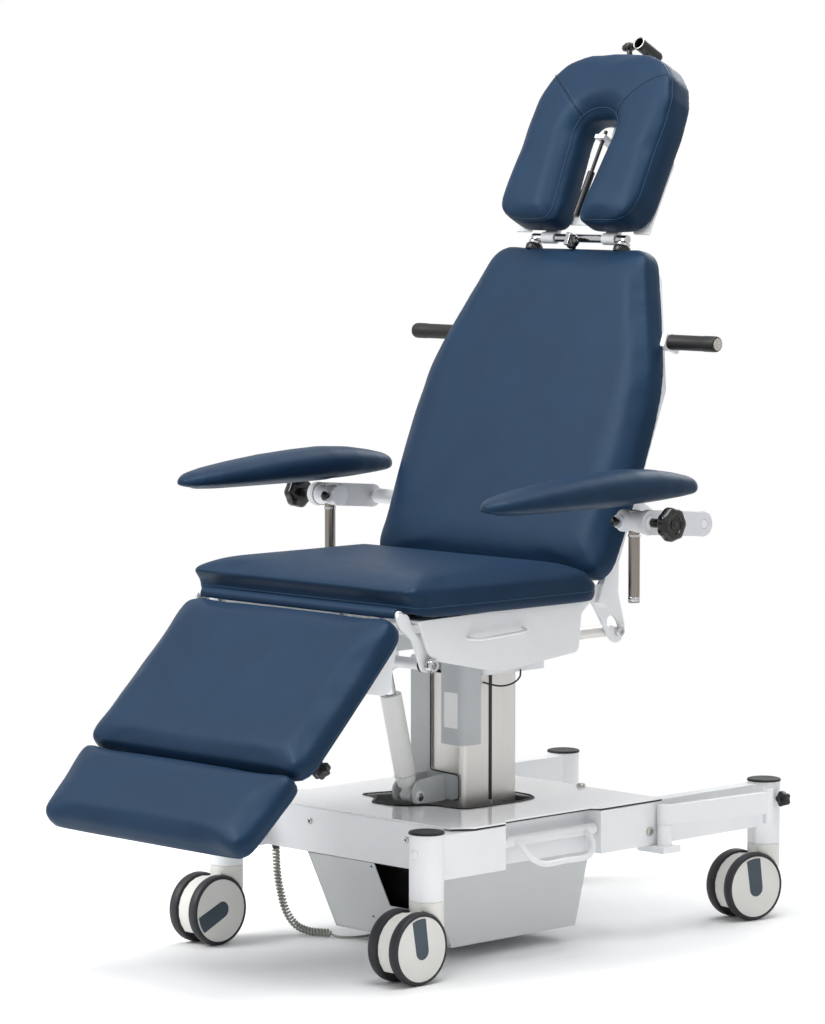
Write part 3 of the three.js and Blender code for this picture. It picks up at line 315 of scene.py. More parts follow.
def ring(radius, wire, steps=48, sides=12):
    """A torus about Z."""
    angles = [2 * math.pi * i / steps for i in range(steps)]
    points = [(radius * math.cos(a), radius * math.sin(a), 0) for a in angles]
    return tube(points, wire, sides, closed=True)


def tube(points, radius, sides=10, closed=False):
    """A round section carried along the points without twist."""
    path = [Vector(p) for p in points]
    count = len(path)
    verts = []
    normal = None
    for i, point in enumerate(path):
        if closed:
            along = path[(i + 1) % count] - path[i - 1]
        else:
            along = path[min(i + 1, count - 1)] - path[max(i - 1, 0)]
        along.normalize()
        if normal is None:
            normal = along.orthogonal().normalized()
        normal = (normal - along * normal.dot(along)).normalized()
        side = along.cross(normal)
        for k in range(sides):
            angle = 2 * math.pi * k / sides
            verts.append(point + radius * (normal * math.cos(angle) + side * math.sin(angle)))
    faces = skin(count, sides)
    if closed:
        last = (count - 1) * sides
        first = verts[0] - path[0]
        gaps = [((v - path[-1]) - first).length for v in verts[last:]]
        shift = gaps.index(min(gaps))
        faces[-2:] = [(last + (k + shift) % sides, last + (k + 1 + shift) % sides, (k + 1) % sides, k)
                      for k in range(sides)]
    return verts, faces


def slab(outline, low, high, edge=0.6):
    """An (x, y) outline raised from low to high, with a small chamfer on both rims."""
    points = [Vector((p[0], p[1])) for p in outline]
    count = len(points)
    inner = []
    for i, point in enumerate(points):
        before = (point - points[i - 1]).normalized()
        after = (points[(i + 1) % count] - point).normalized()
        tangent = (before + after).normalized()
        inner.append(point + edge * Vector((-tangent.y, tangent.x)))
    rows = [(inner, low), (points, low + edge), (points, high - edge), (inner, high)]
    verts = [(p.x, p.y, z) for line, z in rows for p in line]
    return verts, skin(len(rows), count)


def rounded(points, radius, steps=6):
    """A counter-clockwise outline with its corners rounded."""
    corners = [Vector(p) for p in points]
    result = []
    for i, corner in enumerate(corners):
        back, ahead = corners[i - 1] - corner, corners[(i + 1) % len(corners)] - corner
        reach = min(radius, 0.48 * back.length, 0.48 * ahead.length)
        start, end = corner + back.normalized() * reach, corner + ahead.normalized() * reach
        for k in range(steps + 1):
            t = k / steps
            result.append((1 - t) ** 2 * start + 2 * t * (1 - t) * corner + t ** 2 * end)
    return [(p.x, p.y) for p in result]


def smooth_path(points, per=8, closed=False):
    """Catmull-Rom points through the given ones."""
    path = [Vector(p) for p in points]
    count = len(path)
    result = []
    spans = count if closed else count - 1
    for i in range(spans):
        a = path[i - 1] if closed or i > 0 else 2 * path[0] - path[1]
        b, c = path[i], path[(i + 1) % count]
        d = path[(i + 2) % count] if closed or i + 2 < count else 2 * path[-1] - path[-2]
        for k in range(per):
            t = k / per
            result.append(0.5 * (2 * b + (c - a) * t + (2 * a - 5 * b + 4 * c - d) * t ** 2
                                 + (3 * b - a - 3 * c + d) * t ** 3))
    if not closed:
        result.append(path[-1])
    return result


# ---------------------------------------------------------------- cord
COIL_RADIUS = 5.4
WIRE_RADIUS = 2.1
COIL_TURNS = 36
COIL_ROUTE = [(-255, -112, 156), (-252, -112, 112), (-243, -112, 74), (-229, -111, 40), (-207, -107, 17),
              (-180, -100, 8.5), (-154, -91, 8.5), (-139, -85, 8.5)]
LEAD_ROUTE = [(-124, -82, 3.3), (-108, -72, 3.1), (-97, -52, 3.1), (-91, -28, 5), (-87, -8, 14),
              (-86, -2, 21)]
TURN_STEPS = 14


def make_cord():
    """A coiled lead that hangs from its gland, lies on the floor and goes up into the base pan."""
    spine = smooth_path(COIL_ROUTE, 24)
    lengths = [0]
    for a, b in zip(spine, spine[1:]):
        lengths.append(lengths[-1] + (b - a).length)
    frames = []
    normal = Vector((1, 0, 0))
    for i, point in enumerate(spine):
        along = (spine[min(i + 1, len(spine) - 1)] - spine[max(i - 1, 0)]).normalized()
        normal = (normal - along * normal.dot(along)).normalized()
        frames.append((point, along, normal.copy()))
    total = COIL_TURNS * TURN_STEPS
    points = [Vector((-255, -112, 162)), Vector((-255, -112, 159))]
    at = 0
    for step in range(total + 1):
        want = lengths[-1] * step / total
        while at < len(spine) - 2 and lengths[at + 1] < want:
            at += 1
        share = (want - lengths[at]) / (lengths[at + 1] - lengths[at])
        centre = frames[at][0].lerp(frames[at + 1][0], share)
        along = frames[at][1].lerp(frames[at + 1][1], share).normalized()
        across = frames[at][2].lerp(frames[at + 1][2], share).normalized()
        side = along.cross(across)
        angle = 2 * math.pi * step / TURN_STEPS
        ease = min(1, (step + 2) / 10, (total - step + 2) / 10)
        reach = COIL_RADIUS * ease
        points.append(centre + reach * (across * math.cos(angle) + side * math.sin(angle)))
    tail = [points[-1], Vector((-136, -85, 6))] + [Vector(p) for p in LEAD_ROUTE]
    points += smooth_path(tail, 6)[1:]
    route = [ROW @ p for p in points]
    curve = bpy.data.curves.new("coiled_lead", "CURVE")
    curve.dimensions = "3D"
    curve.bevel_depth = WIRE_RADIUS * MM
    curve.bevel_resolution = 3
    curve.use_fill_caps = True
    line = curve.splines.new("POLY")
    line.points.add(len(route) - 1)
    for target, point in zip(line.points, route):
        target.co = (*point, 1)
    curve.materials.append(MATERIALS["cord"])
    lead = bpy.data.objects.new("coiled_lead", curve)
    SCENE.collection.objects.link(lead)
    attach(lead, "base")
    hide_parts("coiled_cord", "cord_lead")


# ---------------------------------------------------------------- hard CAD nodes, refined
REFINE_EDGE = {"cover_plate": 0.5, "guide_column": 0.5, "outer_column": 1.0, "actuator_bracket": 0}
OWN_FINISH = {"battery_box": "dark_shell", "arm_post_left": "post_steel", "arm_post_right": "post_steel"}


def refine(name, finish=None, edge=0.8, crease=32):
    """The node's own shape with its rims softened and its round faces shaded smooth."""
    mesh = NODES[name].data.copy()
    work = bmesh.new()
    work.from_mesh(mesh)
    bmesh.ops.remove_doubles(work, verts=work.verts, dist=2e-6)
    bmesh.ops.dissolve_limit(work, angle_limit=math.radians(1.5), verts=work.verts, edges=work.edges)
    sharp = [e for e in work.edges if len(e.link_faces) == 2 and e.calc_face_angle() > math.radians(38)]
    if edge:
        bmesh.ops.bevel(work, geom=sharp, offset=edge * MM, offset_type="OFFSET", segments=2, profile=0.5,
                        affect="EDGES", clamp_overlap=False, harden_normals=False)
    bmesh.ops.triangulate(work, faces=[f for f in work.faces if len(f.verts) > 4])
    work.to_mesh(mesh)
    work.free()
    made = register(f"{name}_shell", mesh, NODE_BODY[name], finish or NODE_SLOT[name],
                    crease, (name,))
    weighted = made.modifiers.new("weighted", "WEIGHTED_NORMAL")
    weighted.keep_sharp = True
    weighted.weight = 100
    return made


SOFT = ("seat_cushion", "leg_cushion", "knee_roll", "foot_cushion", "back_cushion", "head_cushion",
        "arm_pad_left", "arm_pad_right")
HAND_PARTS = ("pole_knob", "foot_knob", "arm_knob_left", "arm_knob_right", "head_clamp_knob",
              "push_grip_left", "push_grip_right", "head_handle")
REBUILT = SOFT + HAND_PARTS + ("coiled_cord", "cord_lead") + tuple(f"castor_wheels_{c[0]}" for c in CASTORS)


def refine_hard_nodes():
    for name in sorted(NODES):
        if name not in REBUILT:
            refine(name, OWN_FINISH.get(name), REFINE_EDGE.get(name, 0.8))


# ---------------------------------------------------------------- castor wheels
WHEEL_R, WHEEL_TRAIL, WHEEL_INNER, WHEEL_OUTER = 62.5, 45, 15, 36
MARK_TURN = {"front_left": 98, "front_right": 205, "rear_left": 97, "rear_right": 60}


def make_wheels():
    half = WHEEL_OUTER
    tyre = [(48, WHEEL_INNER + 0.6), (57, WHEEL_INNER), (60.5, WHEEL_INNER + 1.6), (62.2, WHEEL_INNER + 5),
            (62.5, WHEEL_INNER + 10), (62.2, half - 5), (60.8, half - 1.8), (58.6, half - 0.4),
            (57.4, half - 0.4), (56.6, half - 1.4)]
    disc = [(56.4, half - 7), (56.4, half - 2.0), (55.4, half - 1.2), (40, half - 0.6), (20, half - 0.25),
            (1.5, half - 0.15)]
    arc = [(15 * math.cos(a), -3 + 15 * math.sin(a)) for a in np.linspace(math.pi, 2 * math.pi, 19)]
    top = [(52.5 * math.sin(a), 52.5 * math.cos(a)) for a in np.linspace(0.30, -0.30, 9)]
    pill = [tuple(p) for p in arc] + [tuple(p) for p in top]
    for tag, x, y, turn in CASTORS:
        hub = ROW @ Matrix.Translation((x, y, 0)) @ Matrix.Rotation(math.radians(turn), 4, "Z") \
            @ Matrix.Translation((0, -WHEEL_TRAIL, WHEEL_R))
        wheels, discs, marks, rims = [], [], [], []
        for sign in (1, -1):
            side = Matrix.Rotation(math.radians(90 * sign), 4, "Y")
            spin = side @ Matrix.Rotation(math.radians(sign * MARK_TURN[tag]), 4, "Z")
            wheels.append(moved(lathe(tyre, 72), side))
            discs.append(moved(lathe(disc, 72), side))
            marks.append(moved(slab(pill, half - 1.4, half + 0.15, 0.5), spin))
            rims.append(moved(ring(56.4, 0.5, 72, 8), side @ Matrix.Translation((0, 0, half - 1.0))))
        axle = moved(lathe([(9.2, -16), (9.2, 16)], 32), Matrix.Rotation(math.radians(90), 4, "Y"))
        body = f"wheels_{tag}"
        piece(f"tyre_{tag}", *gather(wheels + [axle]), hub, body, "tyre", "castor_wheel",
              replaces=(f"castor_wheels_{tag}",))
        piece(f"wheel_disc_{tag}", *gather(discs), hub, body, "castor_disc", "castor_wheel")
        piece(f"wheel_mark_{tag}", *gather(marks), hub, body, "slate", "castor_wheel")
        piece(f"wheel_bead_{tag}", *gather(rims), hub, body, "gasket", "castor_wheel")


# ---------------------------------------------------------------- base details
GASKET_ROUTE = [(-130, -9), (-108, -14), (-86, -21), (-68, -42), (-51, -61), (-28, -62), (-3, -59), (14, -40),
                (27, -17), (50, -8), (80, -7), (110, -1), (119, 30), (120, 78), (119, 130), (110, 172),
                (90, 190), (68, 196), (0, 199), (-70, 198), (-104, 176), (-112, 120), (-112, 60), (-124, 20)]

# The belly pan's front leans forward by its run over its rise, from its lower front edge.
BELLY_RUN, BELLY_RISE = 70, 143.6
BELLY_FRONT, BELLY_FLOOR = -88, 24
FRONT_SCREWS = ((-110, 223), (135, 218))


def bolt(radius, height, socket=True, steps=32):
    """A cap screw: a softened rim, with a small round socket sunk in its face."""
    profile = [(radius * 0.9, 0), (radius, height * 0.25), (radius, height * 0.7), (radius * 0.82, height)]
    if socket:
        profile += [(radius * 0.46, height), (radius * 0.42, height * 0.45)]
    return lathe(profile, steps)


def make_base_details():
    caps = []
    for _, x, y, _ in CASTORS:
        profile = [(24, 250.5), (31, 251.2), (31.2, 253), (30.2, 255), (27, 255.9), (22, 255.6), (14, 255.2),
                   (2, 255)]
        caps.append(moved(lathe(profile, 56), Matrix.Translation((x, y, 0))))
    piece("leg_caps", *gather(caps), ROW, "base", "rubber", "black_plastic")
    slope = math.hypot(BELLY_RUN, BELLY_RISE)
    run, rise = BELLY_RUN / slope, BELLY_RISE / slope
    front = ROW @ Matrix(((1, 0, 0, 0), (0, -run, -rise, BELLY_FRONT), (0, rise, -run, BELLY_FLOOR),
                          (0, 0, 0, 1)))
    sheet = [(-119, 3), (169, 3), (169, 68), (47, 68), (47, 157), (-119, 157)]
    piece("belly_front", *slab(rounded(sheet, 2, 3), -2.2, -0.2, 0.4), front, "base", "grey_paint")
    dots = [moved(lathe([(2.2, 0), (2.2, 0.5), (1.4, 0.9), (0.2, 1)], 20), Matrix.Translation((x, y, -0.2)))
            for x, y in ((38, 150), (-8, 38))]
    piece("belly_rivets", *gather(dots), front, "base", "gasket", "rubber")
    screws = []
    for x, z in FRONT_SCREWS:
        screws.append(moved(bolt(5.5, 2.6), toward((x, -162, z), (0, -1, 0))))
    screws.append(moved(bolt(8.5, 6), toward((75, 338, 251.3), (0, 0, 1))))
    screws.append(moved(bolt(4.5, 1.8), toward((-150, 340, 251.3), (0, 0, 1))))
    for sign in (1, -1):
        screws.append(moved(bolt(8, 5), toward((sign * 265, 315, 194), (sign, 0, 0))))
    piece("base_screws", *gather(screws), ROW, "base", "brass_screw", "chrome")
    # Dark discs painted in the front screws' sockets, as the shade in their hollows.
    socket_shades = [moved(lathe([(2.2, 0), (2.2, 0.3), (0.2, 0.3)], 20), toward((x, -163.3, z), (0, -1, 0)))
            for x, z in FRONT_SCREWS]
    piece("screw_socket_shade", *gather(socket_shades), ROW, "base", "gasket", "rubber")
    edge = [(p.x * 1.02, 60 + (p.y - 60) * 1.02, 252.0)
            for p in smooth_path([(x, y, 0) for x, y in GASKET_ROUTE], 6, True)]
    piece("opening_gasket", *tube(edge, 1.7, 10, closed=True), ROW, "base", "gasket", "rubber")
    # A dark tube along the cover plate's sides and back, painted as the shadow line under its rim; the front
    # edge is left out.
    rim = [(240, -160), (264, -126), (264, -50), (250, -36), (250, 177), (264, 191), (264, 348)]
    rim += [(-x, y) for x, y in reversed(rim)]
    strip = [(x, y, 246.9) for x, y in rim]
    piece("plate_edge_shadow", *tube(strip, 1.3, 8), ROW, "base", "gasket", "rubber")
    button = lathe([(7, 0), (8, 0.8), (8, 2.2), (6.5, 3.4), (2, 3.9)], 32)
    piece("tube_button", *moved(button, toward((255, -259.5, 219), (0, -1, 0))), ROW, "base", "white_paint")
    # A faint grey ring painted round the tube button, as the shadow ring where it sits in the tube; it
    # borrows the castor disc colour.
    button_shade_ring = moved(ring(8.3, 0.5, 40, 8), toward((255, -259.8, 219), (0, -1, 0)))
    piece("tube_button_shade_ring", *button_shade_ring, ROW, "base", "castor_disc", "white_paint")
    gland = lathe([(7.5, 0), (11.2, 0.5), (11.2, 2.5), (9.6, 3.4), (9.6, 4.6), (7.4, 6.4), (3.0, 7.6),
                   (2.0, 7.8)], 32)
    piece("gland_nut", *moved(gland, toward((-255, -112, 168), (0, 0, -1))), ROW, "base", "black_plastic",
          replaces=("cord_gland",))


def make_column_details():
    # Dark strips painted along the middle of both column sides, as the shade in their grooves.
    groove = slab(rounded([(-3.6, 251.5), (3.6, 251.5), (3.6, 479.5), (-3.6, 479.5)], 1.2, 3), 0, 1.0, 0.3)
    strips = [moved(groove, Matrix(((0, 0, s, s * 65.6), (1, 0, 0, 113), (0, 1, 0, 0), (0, 0, 0, 1))))
              for s in (1, -1)]
    piece("column_groove_shade", *gather(strips), ROW, "column", "gasket", "rubber")
    label = slab(rounded([(-17, 390), (17, 390), (17, 453), (-17, 453)], 2, 4), 0, 0.5, 0.15)
    upright = Matrix(((1, 0, 0, 70), (0, 0, -1, 10.1), (0, 1, 0, 0), (0, 0, 0, 1)))
    piece("blank_label", *moved(label, upright), ROW, "column", "label", "grey_plastic")
    lead = smooth_path([(69, 92, 464), (76, 104, 459.5), (90, 117, 457), (100, 134, 461), (104, 148, 471),
                        (100, 155, 484)], 10)
    piece("motor_lead", *tube(lead, 1.6, 10), ROW, "column", "gasket", "black_plastic")
    trim = [(-11, 480), (-11, 320), (-11, 309), (-9, 305.5), (-2, 304.6), (54, 302), (59, 300), (60.6, 294),
            (60.6, 264), (58, 258), (50, 256.6)]
    piece("bracket_trim", *tube([(x, 39.4, z) for x, z in trim], 1.3, 8), ROW, "column", "gasket", "rubber")
    pins = [moved(bolt(7.5, 4, False), toward((s * 27.2, -25, 266), (s, 0, 0))) for s in (1, -1)]
    piece("clevis_pins", *gather(pins), ROW, "column", "chrome")
    washer = lathe([(7.6, 0), (11, 0), (11.2, 0.8), (10.4, 1.6), (7.6, 1.7)], 36)
    piece("clevis_washer", *moved(washer, toward((27.1, -25, 266), (1, 0, 0))), ROW, "column", "white_paint")


# ---------------------------------------------------------------- knobs, grips and other hand parts
def star_knob(name, lobes, radius, head, stem, stem_length, place, body, replaced):
    """A moulded knob along +Z: a stem, then a lobed head with a domed face."""
    profile = [(stem, 0), (stem, stem_length - 1), (radius * 0.62, stem_length),
               (radius * 0.94, stem_length + 1.2), (radius, stem_length + 3),
               (radius, stem_length + head - 4), (radius * 0.95, stem_length + head - 1.6),
               (radius * 0.72, stem_length + head),
               (radius * 0.5, stem_length + head - 0.4), (radius * 0.34, stem_length + head - 1.6),
               (radius * 0.05, stem_length + head - 1.4)]
    verts, faces = lathe(profile, lobes * 14, lobes, 0.2)
    piece(name, verts, faces, place, body, "black_plastic", crease=50, replaces=(replaced,))


def make_seat_details():
    bolts, bushes = [], []
    for s in (1, -1):
        bolts.append(moved(bolt(13, 12), toward((s * 260.5, -230, 539), (s, 0, 0))))
        bolts.append(moved(bolt(9, 4), toward((s * 253.6, 172, 634), (s, 0, 0))))
        bushes.append(moved(turned(13.5, 9, 1.2), toward((s * 251.6, -230, 539), (-s, 0, 0))))
    piece("seat_bolts", *gather(bolts), ROW, "seat", "chrome")
    piece("seat_bushes", *gather(bushes), ROW, "seat", "rubber")
    ends = [moved(bolt(9.5, 5), toward((s * 259, 242, 559), (s, 0, 0))) for s in (1, -1)]
    piece("push_bolts", *gather(ends), ROW, "back_yoke", "chrome")


ARM_KNOB_RIBS = 28


def make_hand_parts():
    star_knob("pole_star", 5, 15, 14, 4.6, 6, ROW @ toward((303, 622, 222), (0, 1, 0)),
              "pole_knob_body", "pole_knob")
    star_knob("foot_star", 6, 16.5, 15, 4.6, 24, LEG @ toward((205, -277, -51), (0, 0, -1)),
              "foot_knob_body", "foot_knob")
    star_knob("head_star", 6, 13, 12, 4.5, 5, BACK @ toward((0, -14, 641), (0, -1, 0)),
              "head_knob", "head_clamp_knob")
    for tag, s in SIDES:
        place = ROW @ toward((s * 460, 144, 768), (s, 0, 0))
        body = f"arm_knob_{tag}_body"
        profile = [(8, -36), (8, 0), (25, 0.6), (29, 3), (30, 6), (30, 15), (28.6, 18.6), (25, 20.6),
                   (18, 21.4), (16.5, 20.4), (15.5, 18), (9, 17.4), (8.4, 19), (6, 20.4), (0.6, 20.8)]
        knob = lathe(profile, 98, 7, 0.08)
        ribs = []
        for i in range(ARM_KNOB_RIBS):
            angle = 2 * math.pi * (i + 0.5) / ARM_KNOB_RIBS
            a = (17.5 * math.cos(angle), 17.5 * math.sin(angle), 20.9)
            b = (24.5 * math.cos(angle), 24.5 * math.sin(angle), 20.4)
            ribs.append(tube([a, b], 0.8, 6))
        piece(f"arm_star_{tag}", *gather([knob] + ribs), place, body, "gloss_black", "black_plastic",
              crease=45, replaces=(f"arm_knob_{tag}",))
        small = lathe([(4, 0), (4, 6), (9, 7), (10, 9.5), (9, 13), (5, 16.5), (1, 17.5)], 36, 3, 0.35)
        collar = lathe([(12, -2), (12.5, -1), (12.5, 2.5), (11.5, 3.5), (4.5, 3.5)], 36)
        spot = toward((s * 366, 124.8, 768), (0, -1, 0))
        piece(f"lock_knob_{tag}", *moved(small, spot), ROW, f"arm_hub_{tag}_body", "black_plastic", crease=45)
        piece(f"lock_collar_{tag}", *moved(collar, spot), ROW, f"arm_hub_{tag}_body", "grey_arm")
        cap = lathe([(18.2, -1), (19.4, 0), (19.4, 2), (18.2, 3.2), (8.2, 3.4)], 56)
        piece(f"hub_cap_{tag}", *moved(cap, toward((s * 359, 144, 768), (-s, 0, 0))), ROW,
              f"arm_hub_{tag}_body", "white_paint")
        top_ring = lathe([(10.2, 0), (11.2, 0.6), (11.2, 4.4), (10.2, 5)], 40)
        foot_cap = lathe([(1, -5.4), (6, -4.8), (9.4, -2.4), (10.3, 0), (10.3, 5), (9.9, 6)], 40)
        fittings = [moved(top_ring, toward((s * 384, 144, 741), (0, 0, 1))),
                    moved(foot_cap, toward((s * 384, 144, 631), (0, 0, 1)))]
        piece(f"post_rings_{tag}", *gather(fittings), ROW, f"arm_post_{tag}_body", "chrome")
        rubber = [(12.5, 0), (14, 1.5), (14.2, 4), (13.7, 6), (13.7, 78), (14.2, 82), (14.3, 103),
                  (13.9, 108), (12.8, 110.5), (11, 111)]
        place = BACK @ toward((s * 268, 14, 471.5), (s, 0, 0))
        piece(f"grip_sleeve_{tag}", *lathe(rubber, 48), place, "back", "rubber",
              replaces=(f"push_grip_{tag}",))
        disc = lathe([(10.9, 110.6), (10.9, 111.6), (9.8, 112.3), (4.2, 112.5), (3.4, 111.7),
                      (0.6, 111.6)], 40)
        piece(f"grip_end_{tag}", *disc, place, "back", "brass_screw", "stainless")


def make_head_parts():
    for s in (1, -1):
        bush = lathe([(9, -2), (15, -1.4), (16, 1), (16, 8), (14.6, 10.4), (8.6, 11)], 44)
        spot = toward((s * 110, -8, 630), (0, 0, 1))
        piece(f"post_bush_{s + 1}", *moved(bush, spot), BACK, "back", "black_plastic")
        band = lathe([(8.5, 11.4), (12.2, 11.8), (12.8, 13.4), (12.8, 17), (11.8, 18.6), (8.5, 19)], 44)
        piece(f"post_ring_{s + 1}", *moved(band, spot), BACK, "head_slide", "chrome")
    outer = [(1, -4), (9.8, -5), (9.9, -27), (10.6, -28), (12.1, -27), (12.5, -24), (12.5, 26), (12.1, 29),
             (10.6, 30), (9.9, 29), (9.8, 6), (1, 5)]
    piece("head_tube", *lathe(outer, 44), HEAD @ toward((0, 0, 387), (0, 1, 0)), "head", "black_plastic",
          replaces=("head_handle",))
    rim = ring(11.2, 1.2, 44, 10)
    for y in (-28, 30):
        piece(f"head_tube_rim_{y + 28}", *moved(rim, toward((0, y, 387), (0, 1, 0))), HEAD, "head",
              "brass_screw", "chrome")
    lever = lathe([(4, -2), (5, 0), (5, 14), (12, 16), (13.5, 20), (12.5, 25), (8, 27.5), (1, 28)],
                  48, 4, 0.25)
    piece("head_release", *moved(lever, toward((-30, -8, 368), (-0.35, -0.2, 0.9))), HEAD, "head",
          "black_plastic", crease=50)


# ---------------------------------------------------------------- cushions
PRESSURE = 4.0


def simulate(thing, pinned, cap, pressure):
    """Blows the skin up a little against its pinned back, as foam fills a cover."""
    rest = np.array([v.co for v in thing.data.vertices])
    group = thing.vertex_groups.new(name="held")
    group.add([int(i) for i in np.nonzero(pinned)[0]], 1.0, "REPLACE")
    cloth = thing.modifiers.new("cloth", "CLOTH")
    settings = cloth.settings
    settings.quality = 4
    settings.mass = 0.25
    settings.tension_stiffness = 22
    settings.compression_stiffness = 22
    settings.shear_stiffness = 12
    settings.bending_stiffness = 3
    settings.use_pressure = True
    settings.uniform_pressure_force = pressure
    settings.effector_weights.gravity = 0
    settings.vertex_group_mass = "held"
    cloth.point_cache.frame_start = 1
    cloth.point_cache.frame_end = 20
    for number in range(1, 21):
        SCENE.frame_set(number)
    graph = bpy.context.evaluated_depsgraph_get()
    shaped = np.array([v.co for v in thing.evaluated_get(graph).to_mesh().vertices])
    thing.evaluated_get(graph).to_mesh_clear()
    thing.modifiers.remove(cloth)
    SCENE.frame_set(1)
    travel = smooth_vertices(thing, shaped - rest, 14)
    size = np.linalg.norm(travel, axis=1)
    size[size < 1e-9] = 1e-9
    limit = cap * MM
    travel *= (limit * np.tanh(size / limit) / size)[:, None]
    return rest + travel


def smooth_vertices(thing, points, rounds):
    """Evens a field of points over the mesh, a few rounds of neighbour averages."""
    edges = np.array([e.vertices[:] for e in thing.data.edges])
    count = np.zeros(len(points))
    np.add.at(count, edges[:, 0], 1)
    np.add.at(count, edges[:, 1], 1)
    for _ in range(rounds):
        total = np.zeros_like(points)
        np.add.at(total, edges[:, 0], points[edges[:, 1]])
        np.add.at(total, edges[:, 1], points[edges[:, 0]])
        points = 0.4 * points + 0.6 * total / count[:, None]
    return points


def ramp(values, start, end):
    """0 before start and 1 after end, with a smooth rise between them."""
    t = np.clip((values - start) / (end - start), 0, 1)
    return t * t * (3 - 2 * t)


def dome(local, low, high, axis, drop, reach):
    """Lowers the crown towards the rim. axis is (number, sign) of the way the crown faces."""
    number, sign = axis
    flat = [i for i in range(3) if i != number]
    rim = np.min([np.minimum(local[:, i] - low[i], high[i] - local[:, i]) for i in flat], axis=0)
    depth = (local[:, number] - low[number]) / (high[number] - low[number])
    if sign < 0:
        depth = 1 - depth
    sink = drop * np.clip(1 - rim / reach, 0, 1) ** 2
    local[:, number] -= sign * sink * depth
    return local


def set_points(mesh, points):
    for vertex, point in zip(mesh.vertices, points):
        vertex.co = point
    mesh.update()


def through(place, points):
    """An array of points taken through a place."""
    matrix = np.array(place)
    return points @ matrix[:3, :3].T + matrix[:3, 3]


def bake(made):
    """Replaces the object's mesh by what its modifiers make of it."""
    graph = bpy.context.evaluated_depsgraph_get()
    mesh = bpy.data.meshes.new_from_object(made.evaluated_get(graph))
    made.modifiers.clear()
    made.data = mesh
    return mesh


def cushion(node, place, hold, shrink=4.0, cap=8.0, voxel=6.0, rounds=3, seam=None, extra=None,
            start=None, box=None, crown=None, adjust=None):
    """A filled pad grown from the node's own space. hold(points in the pad's frame) says what stays flat,
    and box gives the low and high corner, in the pad's frame, that the filled pad reaches."""
    mesh = start or NODES[node].data.copy()
    made = bpy.data.objects.new(f"{node}_cover", mesh)
    SCENE.collection.objects.link(made)
    remesh = made.modifiers.new("remesh", "REMESH")
    remesh.mode = "VOXEL"
    remesh.voxel_size = voxel * MM
    remesh.use_smooth_shade = True
    mesh = bake(made)
    points = np.array([v.co for v in mesh.vertices])
    points = smooth_vertices(made, points, 3)
    set_points(mesh, points)
    normals = np.array([v.normal for v in mesh.vertices])
    held = hold(through(place.inverted(), points))
    points = points - normals * (shrink * MM) * (~held)[:, None]
    set_points(mesh, points)
    points = simulate(made, held, cap, PRESSURE)
    points = smooth_vertices(made, points, rounds)
    local = through(place.inverted(), points)
    if box:
        low, high = np.array(box[0]), np.array(box[1])
        local = low + (local - local.min(0)) * (high - low) / (local.max(0) - local.min(0))
        if crown:
            local = dome(local, low, high, *crown)
    if adjust:
        local = adjust(local)
    points = through(place, local)
    if seam:
        origin, direction, depth, width = seam
        origin = place @ Vector(origin)
        direction = (place.to_3x3() @ Vector(direction)).normalized()
        away = (points - np.array(origin)) @ np.array(direction) / MM
        pinch = np.exp(-(away / width) ** 2) * depth * MM
        points = points - normals * pinch[:, None]
    set_points(mesh, points)
    fine = made.modifiers.new("fine", "SUBSURF")
    fine.levels = 1
    fine.render_levels = 1
    mesh = bake(made)
    mesh.materials.clear()
    mesh.materials.append(MATERIALS["vinyl"])
    mesh.shade_smooth()
    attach(made, NODE_BODY[node])
    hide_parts(node)
    if seam:
        loop_seam(made, node, place, seam)
    if extra:
        extra(made, place)
    return made


def loop_seam(made, node, place, seam):
    """A welt where the plane of the seam meets the cover, painted lighter than the vinyl as a highlight along
    its ridge.
    """
    origin = place @ Vector(seam[0])
    direction = (place.to_3x3() @ Vector(seam[1])).normalized()
    work = bmesh.new()
    work.from_mesh(made.data)
    geom = list(work.verts) + list(work.edges) + list(work.faces)
    cut = bmesh.ops.bisect_plane(work, geom=geom, plane_co=origin, plane_no=direction, dist=1e-7)
    edges = [e for e in cut["geom_cut"] if isinstance(e, bmesh.types.BMEdge)]
    loops = ordered_loops(edges)
    parts = []
    for loop in loops:
        if len(loop) < 30:
            continue
        points = [Vector(p) for p in loop]
        for _ in range(6):
            ahead = points[1:] + points[:1]
            points = [(points[i - 1] + 2 * p + ahead[i]) / 4 for i, p in enumerate(points)]
        parts.append(tube(points[::2], 1.0 * MM, 8, closed=True))
    work.free()
    if parts:
        piece(f"{node}_seam", *gather(parts), Matrix.Identity(4), NODE_BODY[node], "vinyl_welt", "vinyl", 80)


def ordered_loops(edges):
    """The closed loops that the edges form, each as a list of places in order."""
    near = {}
    for edge in edges:
        a, b = edge.verts
        near.setdefault(a, []).append(b)
        near.setdefault(b, []).append(a)
    seen = set()
    loops = []
    for start in near:
        if start in seen:
            continue
        loop = [start]
        seen.add(start)
        here = start
        while True:
            ahead = [v for v in near[here] if v not in seen]
            if not ahead:
                break
            here = ahead[0]
            seen.add(here)
            loop.append(here)
        loops.append([v.co.copy() for v in loop])
    return loops


def project(made, place, points, direction):
    """Points dropped on to the cover along a direction, with the skin's normal."""
    polygons = [p.vertices[:] for p in made.data.polygons]
    tree = BVHTree.FromPolygons([v.co for v in made.data.vertices], polygons)
    ray = (place.to_3x3() @ Vector(direction)).normalized()
    landed = []
    for point in points:
        start = place @ Vector(point) - ray * 0.2
        spot, normal, _, _ = tree.ray_cast(start, ray)
        if spot is not None:
            landed.append((spot, normal))
    return landed


